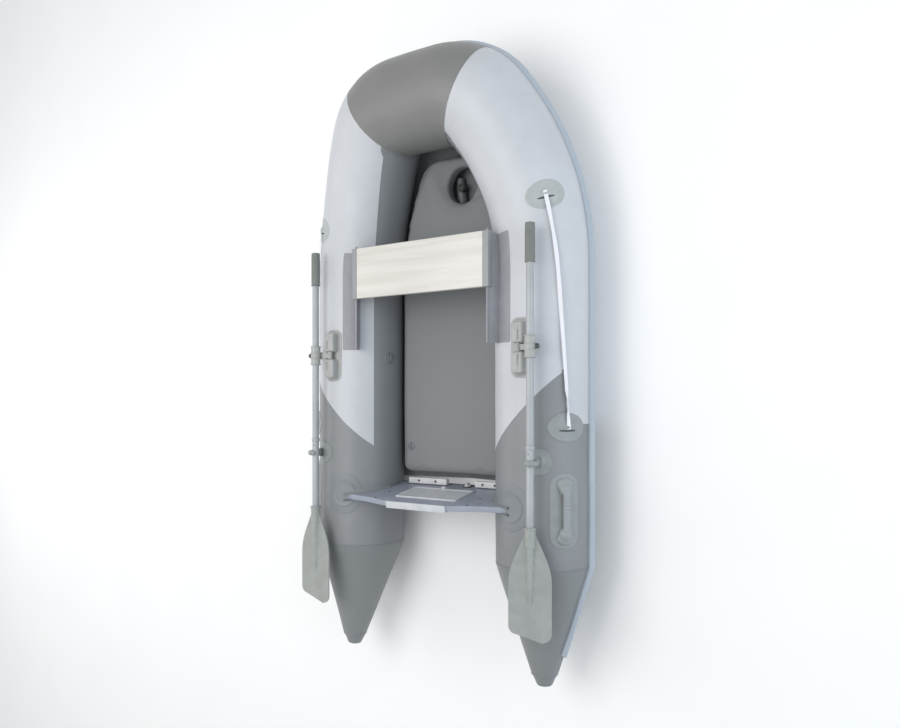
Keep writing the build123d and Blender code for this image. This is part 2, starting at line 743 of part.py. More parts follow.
def make_rowlocks():
    """Pad, two blocks and a fore-and-aft pin, on the top of the tube."""
    pad = rounded_pad(on_tube(rowlock_x, 0), rowlock_length, rowlock_width, 32, pad_thickness)
    inner, outer = hub_length / 2 + side_gap, rowlock_length / 2 - 16
    top = hub_centre.Z + block_crown
    half, crown = block_width / 2, block_width / 2 - 9
    tip = top - 14
    outboard = [(half, tube_top - 12), (half, tip), (crown, top)]
    inboard = [(-across, up) for across, up in reversed(outboard)]
    profile = make_face(Pos(tube_offset, 0) * Polyline(*outboard, *inboard, close=True))
    blocks = extrude(Plane.YZ.offset(rowlock_x + inner) * profile, outer - inner)
    blocks += extrude(Plane.YZ.offset(rowlock_x - outer) * profile, outer - inner)
    blocks -= tube_bar(rowlock_x - rowlock_length, rowlock_x + rowlock_length, tube_radius)
    pin = hub_bar(inner + 45, hub_pin_radius)
    both("rowlock_base", pad + blocks - pin)
    pair("rowlock_pins", pin)


def make_hubs():
    """Hub that turns on the pin, with an arm out to the eye that the oar pivots in."""
    half = hub_length / 2
    hub = hub_bar(half, hub_radius)
    eye_foot = oar_centre - pivot_up * (eye_top + eye_thickness)
    eye_plane = Plane(origin=eye_foot, x_dir=(1, 0, 0), z_dir=pivot_up)
    eye = extrude(eye_plane * Circle(eye_radius), eye_thickness)
    low = eye_plane.origin - Vector(0, pivot_up.Z, -pivot_up.Y) * (washer_radius + 1.5)
    high = low + pivot_up * eye_thickness
    outline = Polyline(
        (tube_offset, hub_centre.Z - 7),
        (low.Y, low.Z),
        (high.Y, high.Z),
        (tube_offset, hub_centre.Z + 7),
        close=True,
    )
    arm = make_face(outline)
    body = hub + extrude(Plane.YZ.offset(rowlock_x - half + 3) * arm, hub_length - 6) + eye
    body -= hub_bar(2 * hub_length, hub_pin_radius + pivot_clearance)
    body -= extrude(eye_plane.offset(-20) * Circle(pivot_radius + pivot_clearance), 60)
    both("rowlock_hub", body)


def oar_bar(aft_reach, fore_reach, radius):
    """A round bar on the oar's axis, between two distances aft of the rowlock."""
    ends = [(rowlock_x - reach, oar_centre.Y, oar_centre.Z) for reach in (aft_reach, fore_reach)]
    return bar(*ends, radius)


def make_oars():
    half = sleeve_length / 2
    sleeve = oar_bar(half, -half, sleeve_radius)
    for reach in (half, -half + 4, 14, -10):
        sleeve += oar_bar(reach, reach - 4, sleeve_radius + sleeve_flange)
    pivot = Plane(origin=oar_centre - pivot_up * (eye_top + eye_thickness + 3.2), z_dir=pivot_up)
    sleeve += extrude(pivot * Circle(pivot_radius), eye_top + eye_thickness)
    sleeve += extrude(pivot * Circle(washer_radius), 2.6)
    side = Plane(origin=oar_centre, z_dir=(0, 1, 0))
    sleeve += extrude(side * Circle(7), sleeve_radius + 4)
    sleeve -= oar_bar(half + 5, -half - 5, oar_radius)
    sleeve -= extrude(side * Circle(clamp_radius + running_gap), 2 * sleeve_radius)
    both("oar_sleeve", sleeve)
    screw = extrude(side.offset(oar_radius + 0.4) * Circle(clamp_radius), 14)
    knob = extrude(side.offset(sleeve_radius + 4.5) * Circle(clamp_knob_radius), clamp_knob_length)
    both("clamp_knob", screw + knob)

    grip_start = oar_grip_length - oar_grip_reach
    shaft_end = 12.0 - oar_grip_reach
    upper = oar_bar(oar_joint_reach, shaft_end, oar_radius)
    upper -= oar_bar(oar_joint_reach, shaft_end, oar_radius - oar_wall)
    lower = oar_bar(socket_reach + 60, oar_joint_reach, oar_radius)
    lower -= oar_bar(socket_reach + 60, oar_joint_reach, oar_radius - oar_wall)
    collar = oar_bar(oar_joint_reach + joint_collar_length, oar_joint_reach, oar_radius + 3)
    collar -= oar_bar(oar_joint_reach + joint_collar_length, oar_joint_reach, oar_radius)
    both("oar_shaft", group(upper, lower, collar))
    grip = oar_bar(grip_start, -oar_grip_reach, oar_grip_radius)
    both("oar_grip", grip - oar_bar(grip_start, shaft_end, oar_radius))
    nodes["port_oar_blade"] = group(make_blade(1, Vector(0, 0, 1)))
    nodes["starboard_oar_blade"] = group(mirror(make_blade(-1, pivot_up), about=Plane.XZ))


def make_blade(long_side, face):
    """Oar blade with its socket; its end is slanted, longer on one side."""
    plane = Plane(origin=oar_centre, x_dir=(-1, 0, 0), z_dir=face)
    half = blade_width / 2
    corners = [
        (socket_reach + 10, -socket_radius),
        (shoulder_reach, -half),
        (oar_blade_reach - blade_slant * (1 + long_side) / 2, -half),
        (oar_blade_reach - blade_slant * (1 - long_side) / 2, half),
        (shoulder_reach, half),
        (socket_reach + 10, socket_radius),
    ]
    outline = make_face(Polyline(*corners, close=True))
    outline = fillet(outline.vertices().sort_by(Axis.X)[-2:], 26)
    sheet = extrude(plane.offset(-blade_thickness / 2) * outline, blade_thickness)
    tip = Plane(origin=oar_centre - Vector(socket_reach + 66, 0, 0), z_dir=(-1, 0, 0))
    rib = loft([tip * Circle(socket_radius - 2), tip.offset(250) * Circle(5)], ruled=True)
    socket = oar_bar(socket_reach + 66, socket_reach, socket_radius)
    return sheet + socket + rib - oar_bar(socket_reach + 60, socket_reach - 5, oar_radius)


# ---------------------------------------------------------------- fittings on the tubes
def make_keepers():
    """Pad on the tube, and the rubber hook that holds the stowed oar."""
    plane = on_tube(keeper_x, keeper_angle)
    pad = conform(extrude(plane.offset(-20) * Circle(keeper_radius), 60), pad_thickness)
    boss = extrude(plane.offset(-5) * Circle(20), 5 + 2 * pad_thickness)
    boss -= tube_bar(keeper_x - 60, keeper_x + 60, tube_radius)
    keeper = pad + boss
    pair("oar_keepers", keeper)
    inner = oar_radius + hook_clearance
    outer = inner + hook_wall
    at = Pos(oar_centre.Y, oar_centre.Z)
    out = radial(keeper_angle, tube_radius + 2 * pad_thickness)
    foot = Vector(tube_offset + out.Y, tube_radius + out.Z)
    middle = Vector(oar_centre.Y, oar_centre.Z)
    axis = (middle - foot).normalized()
    across = Vector(-axis.Y, axis.X) * 8
    stem_top = middle - axis * (inner + hook_wall / 2)
    corners = [foot - across, foot + across, stem_top + across, stem_top - across]
    stem = make_face(Polyline(*[(corner_.X, corner_.Y) for corner_ in corners], close=True))
    mouth = at * Rot(0, 0, -35) * Pos(outer, 0) * Rectangle(2 * outer, 1.5 * oar_radius)
    hook = (at * Circle(outer) + stem) - at * Circle(inner) - mouth
    pair("keeper_hooks", extrude(Plane.YZ.offset(keeper_x - hook_length / 2) * hook, hook_length) - keeper)


def make_handles():
    """Carrying handle: a pad on the tube with a raised grip."""
    plane = on_tube(handle_x, handle_angle)
    pad = rounded_pad(plane, handle_length, handle_width, 45, pad_thickness)
    grip = extrude(plane.offset(handle_rise - handle_bar) * RectangleRounded(
        2 * handle_span + handle_foot, handle_bar_width, 12), handle_bar)
    for side in (-1, 1):
        foot = Pos(side * handle_span, 0) * RectangleRounded(handle_foot, handle_foot, 10)
        grip += extrude(plane.offset(-5) * foot, handle_rise - 3)
    pair("carry_handles", pad + grip - tube_bar(handle_x - 200, handle_x + 200, tube_radius))


def run_turn(run):
    return math.degrees(math.asin(max(0.0, run - bend_start) / bow_outer_bend))


def tube_plane(run, angle, rise):
    """Plane on the tube, straight or bending: x towards the bow, z out of the tube."""
    if run <= bend_start:
        return on_tube(run, angle, rise)
    across = centre_line(run_turn(run))
    lean = math.radians(angle)
    out = across.x_dir * math.sin(lean) + across.y_dir * math.cos(lean)
    return Plane(origin=across.origin + out * (tube_radius + rise), x_dir=across.z_dir, z_dir=out)


line_route = [           # run along the tube, angle round it, rise of the line's middle
    (patch_fore_x + 12, 35.0, 10.5),
    (patch_fore_x - 82, 36.0, 10.0),
    (patch_fore_x - 220, 39.8, 12.0),
    (patch_fore_x - 378, 43.0, 14.0),
    (patch_fore_x - 545, 46.6, 12.5),
    (patch_fore_x - 705, 50.2, 11.0),
    (patch_aft_x - 6, 53.0, 10.5),
]


def make_lifelines():
    """Oval patches with a saddle each, and the line held between them."""
    pads = []
    fore, aft = (patch_fore_x, patch_fore_angle, 22.0), (patch_aft_x, patch_aft_angle, -16.0)
    for run, angle, saddle_at in (fore, aft):
        plane = tube_plane(run, angle, 0)
        core = Plane(origin=plane.origin - plane.z_dir * tube_radius - plane.x_dir * 120, z_dir=plane.x_dir)
        shell = extrude(core * Circle(tube_radius + pad_thickness), 240)
        pad = extrude(plane.offset(-60) * Ellipse(patch_length / 2, patch_width / 2), 100) & shell
        saddle = Pos(saddle_at, 0) * RectangleRounded(saddle_length, saddle_width, 4)
        pad += extrude(plane.offset(-5) * saddle, 5 + saddle_rise)
        for tube in (outer_straight, *outer_gores[:3]):
            pad = pad - tube
        pads.append(pad.solids().sort_by(SortBy.VOLUME)[-1])
    pair("lifeline_patches", group(*pads))
    points = [tube_plane(*stop).origin for stop in line_route]
    turns = []
    for first, mid, last in zip(points, points[1:], points[2:]):
        turn = math.radians((mid - first).get_angle(last - mid))
        shorter = min((mid - first).length, (last - mid).length)
        turns.append(0.45 * shorter / math.tan(turn / 2))
    print("lifeline bend radii", [round(radius) for radius in turns])
    path = FilletPolyline(*points, radius=turns)
    start = Plane(origin=points[0], z_dir=points[1] - points[0])
    line = sweep(start * Circle(line_width / 2), path=path)
    print("lifeline length", round(path.length), "tube volume share",
          round(line.volume / (math.pi * (line_width / 2) ** 2 * path.length), 4))
    both("lifeline", line)


make_tubes()
make_cones()
make_strakes()
make_bottom()
make_valves(make_keel())
make_floor()
make_transom()
make_cleats()
make_drain()
ring_centre = make_ring()
make_rails()
make_seat()
make_rowlocks()
make_hubs()
make_oars()
make_keepers()
make_handles()
make_lifelines()

for name, shape in nodes.items():
    export_step(shape, f"parts/{name}.step")

print("nodes", len(nodes))
print("ring centre", tuple(round(value, 2) for value in ring_centre))
print("hub", tuple(round(value, 2) for value in hub_centre), "oar", tuple(round(v, 2) for v in oar_centre))
print("sheer start", round(sheer_start, 1), "bend start", round(bend_start, 1), "floor top", floor_top)
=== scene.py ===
"""Looks of an inflatable dinghy with oars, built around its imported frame.

The frame holds every size that must not change. A piece on the tubes is modelled flat, as it
is cut or moulded, with x along the tube, y round it and z out of it, and is then laid round
the tube along its centre line. Port pieces are modelled, and starboard ones mirrored.
"""

from __future__ import annotations

import json
import logging
import math
from dataclasses import dataclass
from enum import Enum
from typing import Any, Callable, Sequence

import bpy
import numpy as np
from mathutils import Matrix, Vector

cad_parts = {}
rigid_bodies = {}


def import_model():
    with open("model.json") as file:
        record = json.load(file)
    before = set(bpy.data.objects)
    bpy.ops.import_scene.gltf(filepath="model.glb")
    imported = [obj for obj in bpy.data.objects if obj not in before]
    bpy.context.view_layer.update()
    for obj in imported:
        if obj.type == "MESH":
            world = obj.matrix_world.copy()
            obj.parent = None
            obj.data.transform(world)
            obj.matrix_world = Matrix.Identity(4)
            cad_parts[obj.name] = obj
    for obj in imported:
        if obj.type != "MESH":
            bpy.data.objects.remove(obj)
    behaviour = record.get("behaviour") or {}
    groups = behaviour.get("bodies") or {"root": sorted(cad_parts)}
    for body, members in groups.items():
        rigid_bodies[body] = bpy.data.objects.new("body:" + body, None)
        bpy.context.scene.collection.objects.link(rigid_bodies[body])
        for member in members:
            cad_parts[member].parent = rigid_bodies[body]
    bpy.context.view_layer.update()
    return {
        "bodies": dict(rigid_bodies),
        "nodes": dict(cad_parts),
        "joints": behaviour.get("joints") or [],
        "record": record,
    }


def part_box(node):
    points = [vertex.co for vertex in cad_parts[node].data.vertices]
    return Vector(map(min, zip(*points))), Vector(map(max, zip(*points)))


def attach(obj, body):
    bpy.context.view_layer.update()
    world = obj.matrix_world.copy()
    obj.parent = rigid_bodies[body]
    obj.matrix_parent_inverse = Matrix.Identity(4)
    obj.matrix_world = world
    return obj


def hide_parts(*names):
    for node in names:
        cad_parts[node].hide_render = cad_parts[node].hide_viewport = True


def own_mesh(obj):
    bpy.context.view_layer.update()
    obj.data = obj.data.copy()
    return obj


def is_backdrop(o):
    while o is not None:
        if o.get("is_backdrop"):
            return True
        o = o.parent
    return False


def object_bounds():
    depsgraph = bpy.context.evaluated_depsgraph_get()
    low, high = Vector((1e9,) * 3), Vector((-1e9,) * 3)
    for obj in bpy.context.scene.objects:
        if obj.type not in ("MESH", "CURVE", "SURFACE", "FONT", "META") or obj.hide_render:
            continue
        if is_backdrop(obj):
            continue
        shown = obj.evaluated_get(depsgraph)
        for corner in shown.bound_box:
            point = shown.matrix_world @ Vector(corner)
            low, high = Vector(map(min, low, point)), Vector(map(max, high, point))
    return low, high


log = logging.getLogger("dinghy")

Piece = bpy.types.Object
Numbers = np.ndarray
Colour = tuple[float, float, float, float]
BOTH = ("port", "starboard")


# ------------------------------------------------------------------ shader sums
class Signal:
    """An output socket; sums written with it add Math nodes."""

    def __init__(self, paint: "Paint", socket: bpy.types.NodeSocket) -> None:
        """Wrap one output socket of a material that is being made."""
        self.paint = paint
        self.socket = socket

    def _sum(self, operation: str, first: Any, second: Any) -> "Signal":
        """Add one Math node."""
        return self.paint.node("ShaderNodeMath", {"operation": operation}, {0: first, 1: second})

    def __add__(self, other: Any) -> "Signal":
        """Add."""
        return self._sum("ADD", self, other)

    def __radd__(self, other: float) -> "Signal":
        """Add, from a number."""
        return self._sum("ADD", other, self)

    def __sub__(self, other: Any) -> "Signal":
        """Subtract."""
        return self._sum("SUBTRACT", self, other)

    def __rsub__(self, other: float) -> "Signal":
        """Subtract from a number."""
        return self._sum("SUBTRACT", other, self)

    def __mul__(self, other: Any) -> "Signal":
        """Multiply."""
        return self._sum("MULTIPLY", self, other)

    def __rmul__(self, other: float) -> "Signal":
        """Multiply a number."""
        return self._sum("MULTIPLY", other, self)

    def sine(self) -> "Signal":
        """Sine of an angle in radians."""
        return self._sum("SINE", self, 0.0)

    def ramp(self, low: float, high: float) -> "Signal":
        """Smooth step from 0 at low to 1 at high."""
        settings = {"interpolation_type": "SMOOTHSTEP"}
        inputs = {"Value": self, "From Min": low, "From Max": high}
        return self.paint.node("ShaderNodeMapRange", settings, inputs)


class Paint:
    """A material that is being made: its nodes and its main shader."""

    def __init__(self, name: str) -> None:
        """Start a material with one Principled shader."""
        self.material = bpy.data.materials.new(name)
        self.material.use_nodes = True
        self.tree = self.material.node_tree
        self.shader = self.tree.nodes["Principled BSDF"]

    def node(self, kind: str, settings: dict[str, Any], inputs: dict[Any, Any], out: Any = 0) -> Signal:
        """Add a node.

        Args:
            kind: the node's type.
            settings: its properties, set before its sockets.
            inputs: a value or a signal for each socket named.
            out: the output that the signal reads.

        Returns:
            The signal of that output.
        """
        made = self.tree.nodes.new(kind)
        for name, value in settings.items():
            setattr(made, name, value)
        for name, value in inputs.items():
            if isinstance(value, Signal):
                self.tree.links.new(value.socket, made.inputs[name])
            else:
                made.inputs[name].default_value = value
        return Signal(self, made.outputs[out])

    def place(self, along_surface: bool) -> Signal:
        """Where a point is: in metres over the surface, or in the piece's own frame."""
        return self.node("ShaderNodeTexCoord", {}, {}, "UV" if along_surface else "Object")

    def noise(self, where: Signal, scale: float, detail: float = 3.0) -> Signal:
        """Noise between 0 and 1 at a scale."""
        return self.node("ShaderNodeTexNoise", {}, {"Vector": where, "Scale": scale, "Detail": detail})

    def stretch(self, where: Signal, factors: Sequence[float]) -> Signal:
        """The place, scaled by a factor on each axis."""
        return self.node("ShaderNodeMapping", {}, {"Vector": where, "Scale": tuple(factors)})

    def part(self, where: Signal, axis: int) -> Signal:
        """One coordinate of a place."""
        return self.node("ShaderNodeSeparateXYZ", {}, {"Vector": where}, axis)

    def blend(self, share: Any, low: Any, high: Any) -> Signal:
        """Mix two colours by a share from 0 to 1."""
        return self.node("ShaderNodeMix", {"data_type": "RGBA"}, {0: share, 6: low, 7: high}, 2)

    def finish(self, bump: Signal | None, depth: float, **sockets: Any) -> bpy.types.Material:
        """Connect the shader and give the material.

        Args:
            bump: height of the surface's fine relief.
            depth: how deep that relief is, in metres.
            sockets: values or signals by socket name, with _ for a space.

        Returns:
            The finished material.
        """
        for name, value in sockets.items():
            socket = self.shader.inputs[name.replace("_", " ")]
            if isinstance(value, Signal):
                self.tree.links.new(value.socket, socket)
            else:
                socket.default_value = value
        if bump is not None:
            relief = self.node("ShaderNodeBump", {}, {"Height": bump, "Distance": depth, "Strength": 1.0})
            self.tree.links.new(relief.socket, self.shader.inputs["Normal"])
        return self.material


def shade(red: int, green: int, blue: int) -> Colour:
    """Linear colour of a display colour whose parts go from 0 to 255."""
    parts = [value / 255 for value in (red, green, blue)]
    linear = [part / 12.92 if part <= 0.04045 else ((part + 0.055) / 1.055) ** 2.4 for part in parts]
    return (linear[0], linear[1], linear[2], 1.0)


def tint(colour: Sequence[float], factor: float) -> Colour:
    """A colour made lighter or darker by a factor."""
    return (colour[0] * factor, colour[1] * factor, colour[2] * factor, 1.0)


# ------------------------------------------------------------------ finishes
@dataclass(frozen=True)
class CoatedFabric:
    """Coated boat fabric: a faint print of the cloth under a smooth coat."""

    name: str
    colour: Colour
    slot: str
    on_surface: bool = True
    roughness: float = 0.46
    thread: float = 0.0022

    def make(self) -> bpy.types.Material:
        """Make the material."""
        paint = Paint(self.name)
        where = paint.place(self.on_surface)
        object_place = paint.place(False)
        broad = paint.noise(object_place, 2.6, 4.0)
        cloud = paint.noise(object_place, 14.0, 3.0)
        grain = paint.noise(object_place, 420.0, 2.0)
        turn = 2 * math.pi / self.thread
        warp = (paint.part(where, 0) * turn).sine()
        weft = (paint.part(where, 1) * turn).sine()
        tone = broad * 0.7 + cloud * 0.3
        colour = paint.blend(tone.ramp(0.25, 0.75), tint(self.colour, 0.93), tint(self.colour, 1.05))
        relief = warp * weft * 0.5 + grain * 0.7 + cloud * 3.0
        rough = self.roughness - 0.05 + tone * 0.1
        coat = {"Coat_Weight": 0.12, "Coat_Roughness": 0.3}
        return paint.finish(relief, 0.00012, Base_Color=colour, Roughness=rough, **coat)


@dataclass(frozen=True)
class Moulding:
    """Moulded rubber or plastic: fine spark texture, worn a little lighter in patches."""

    name: str
    colour: Colour
    slot: str
    roughness: float = 0.5
    grain: float = 900.0

    def make(self) -> bpy.types.Material:
        """Make the material."""
        paint = Paint(self.name)
        where = paint.place(False)
        spark = paint.noise(where, self.grain, 2.0)
        flow = paint.noise(where, 22.0, 4.0)
        colour = paint.blend(flow.ramp(0.3, 0.7), tint(self.colour, 0.94), tint(self.colour, 1.05))
        rough = self.roughness - 0.06 + flow * 0.12
        return paint.finish(spark + flow * 0.8, 0.00014, Base_Color=colour, Roughness=rough, Coat_Weight=0.05)


@dataclass(frozen=True)
class StrakeRubber:
    """Extruded rubber strake: its raised ribs are painted paler as highlights and its flanks darker as
    painted shade.
    """

    name: str
    # painted shade: the flank colour stands for the shade between the ribs
    flank: Colour
    # painted highlight: the rib colour stands for light falling on the raised ribs
    rib: Colour
    slot: str

    def make(self) -> bpy.types.Material:
        """Make the material."""
        paint = Paint(self.name)
        where = paint.place(True)
        across = paint.part(where, 1)
        bands = ((across - 0.5) * 21.4 - math.pi / 2).sine()
        smear = paint.noise(paint.stretch(paint.place(False), (5, 40, 40)), 1.0, 3.0)
        # painted highlight and shade: this mask lightens the raised ribs and darkens the flanks between them
        rib_highlight_mask = bands.ramp(-0.35, 0.7) * (0.8 + smear * 0.3)
        colour = paint.blend(rib_highlight_mask, self.flank, self.rib)
        relief = paint.noise(paint.place(False), 500.0, 2.0)
        return paint.finish(relief, 0.0001, Base_Color=colour, Roughness=0.4 + smear * 0.12, Coat_Weight=0.1)


@dataclass(frozen=True)
class Metal:
    """Drawn or brushed metal, with fine lines along x."""

    name: str
    colour: Colour
    slot: str
    roughness: float = 0.34
    metallic: float = 1.0
    lines: tuple[float, float, float] = (12.0, 900.0, 900.0)

    def make(self) -> bpy.types.Material:
        """Make the material."""
        paint = Paint(self.name)
        lines = paint.noise(paint.stretch(paint.place(False), self.lines), 1.0, 3.0)
        haze = paint.noise(paint.place(False), 9.0, 3.0)
        colour = paint.blend(haze.ramp(0.3, 0.7), tint(self.colour, 0.92), tint(self.colour, 1.04))
        rough = self.roughness - 0.05 + lines * 0.16
        return paint.finish(lines, 0.00004, Base_Color=colour, Roughness=rough, Metallic=self.metallic)


@dataclass(frozen=True)
class SeatSheet:
    """Pale lacquered board with long streaks along its length."""

    name: str
    colour: Colour
    streak: Colour
    slot: str

    def make(self) -> bpy.types.Material:
        """Make the material."""
        paint = Paint(self.name)
        where = paint.place(False)
        wide = paint.noise(paint.stretch(where, (34, 1.6, 20)), 1.0, 4.0)
        fine = paint.noise(paint.stretch(where, (420, 9.0, 300)), 1.0, 3.0)
        tone = wide * 0.65 + fine * 0.35
        colour = paint.blend(tone.ramp(0.35, 0.68), self.streak, self.colour)
        rough = 0.3 + fine * 0.12
        coat = {"Coat_Weight": 0.25, "Coat_Roughness": 0.2}
        return paint.finish(fine, 0.00005, Base_Color=colour, Roughness=rough, **coat)


@dataclass(frozen=True)
class Webbing:
    """Woven tape: ribs across it and a thread pattern along it, on surface metres."""

    name: str
    colour: Colour
    slot: str
    rib: float = 0.0024
    yarn: float = 0.0011

    def make(self) -> bpy.types.Material:
        """Make the material."""
        paint = Paint(self.name)
        where = paint.place(True)
        ribs = (paint.part(where, 0) * (2 * math.pi / self.rib)).sine()
        yarns = (paint.part(where, 1) * (2 * math.pi / self.yarn)).sine()
        weave = ribs * yarns
        soil = paint.noise(paint.place(False), 30.0, 3.0)
        wear = (weave * 0.15 + soil).ramp(0.2, 0.8)
        colour = paint.blend(wear, tint(self.colour, 0.86), tint(self.colour, 1.03))
        return paint.finish(weave, 0.0003, Base_Color=colour, Roughness=0.78 + soil * 0.1, Sheen_Weight=0.2)


class Finish(Enum):
    """Every finish on the boat."""

    LIGHT_PANEL = CoatedFabric("light_panel", shade(194, 197, 202), "light_fabric")
    DARK_PANEL = CoatedFabric("dark_panel", shade(131, 134, 137), "dark_fabric")
    BOW_PANEL = CoatedFabric("bow_panel", shade(124, 124, 123), "dark_fabric")
    CONE = CoatedFabric("cone_fabric", shade(126, 130, 132), "dark_fabric")
    BOTTOM = CoatedFabric("bottom_fabric", shade(112, 114, 118), "dark_fabric", on_surface=False)
    FLOOR = CoatedFabric("floor_fabric", shade(118, 118, 121), "floor_fabric", on_surface=False, thread=0.003)
    TAPE = CoatedFabric("seam_tape", shade(126, 130, 134), "dark_fabric")
    # painted highlight on the strake's ribs and painted shade on its flanks
    STRAKE = StrakeRubber("strake_rubber", shade(112, 124, 146), shade(206, 215, 227), "strake_rubber")
    PATCH_LIGHT = Moulding("patch_pale", shade(170, 176, 176), "grey_rubber", 0.5)
    PATCH = Moulding("patch_grey", shade(144, 149, 150), "grey_rubber", 0.5)
    GRIP = Moulding("grip_rubber", shade(118, 122, 118), "grey_rubber", 0.62)
    FITTING = Moulding("grey_fitting", shade(166, 168, 166), "grey_plastic", 0.42)
    BLADE = Moulding("blade_plastic", shade(152, 156, 153), "grey_plastic", 0.44)
    # dark grey for the clamp knobs, and painted shade where it fills the lifeline slots, the drain's gap and
    # the keel valve deep in its well
    SHADOW = Moulding("dark_fitting", shade(62, 66, 66), "dark_plastic", 0.4)
    VALVE = Moulding("valve_plastic", shade(120, 123, 128), "dark_plastic", 0.42)
    PLATE = Moulding("plate_plastic", shade(196, 199, 204), "pale_plastic", 0.4)
    CLEAT = Moulding("cleat_plastic", shade(206, 207, 209), "pale_plastic", 0.45)
    BOARD = Moulding("transom_paint", shade(150, 156, 170), "transom_wood", 0.38, 260.0)
    STRAP = Moulding("strap_rubber", shade(146, 147, 153), "seat_track", 0.5)
    TRACK = Metal("seat_track", shade(150, 151, 156), "seat_track", 0.42, 0.3, (9.0, 300.0, 300.0))
    SHAFT = Metal("oar_tube", shade(172, 175, 178), "oar_aluminium", 0.52, 0.3)
    STEEL = Metal("fitting_steel", shade(205, 206, 208), "screw_steel", 0.25)
    SCREW = Metal("dark_screw", shade(84, 84, 88), "screw_steel", 0.4)
    SEAT = SeatSheet("seat_sheet", shade(217, 214, 208), shade(203, 200, 193), "seat_board")
    LINE = Webbing("line_webbing", shade(232, 232, 242), "line_webbing")

    def material(self) -> bpy.types.Material:
        """The finish's material, made when it is first asked for."""
        return bpy.data.materials.get(self.value.name) or self.value.make()

    def on(self, piece: Piece) -> Piece:
        """Give a piece this finish all over."""
        piece.data.materials.clear()
        piece.data.materials.append(self.material())
        return piece


# ------------------------------------------------------------------ the modeller's bench
def points(piece: Piece) -> Numbers:
    """Every vertex of a piece, one row each."""
    flat = np.empty(3 * len(piece.data.vertices))
    piece.data.vertices.foreach_get("co", flat)
    return flat.reshape(-1, 3)


def put(piece: Piece, rows: Numbers) -> Piece:
    """Move every vertex of a piece."""
    piece.data.vertices.foreach_set("co", np.ascontiguousarray(rows, float).ravel())
    piece.data.update()
    return piece


def middle_of(node: str) -> Vector:
    """The middle of a CAD node's box."""
    low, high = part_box(node)
    return (low + high) / 2


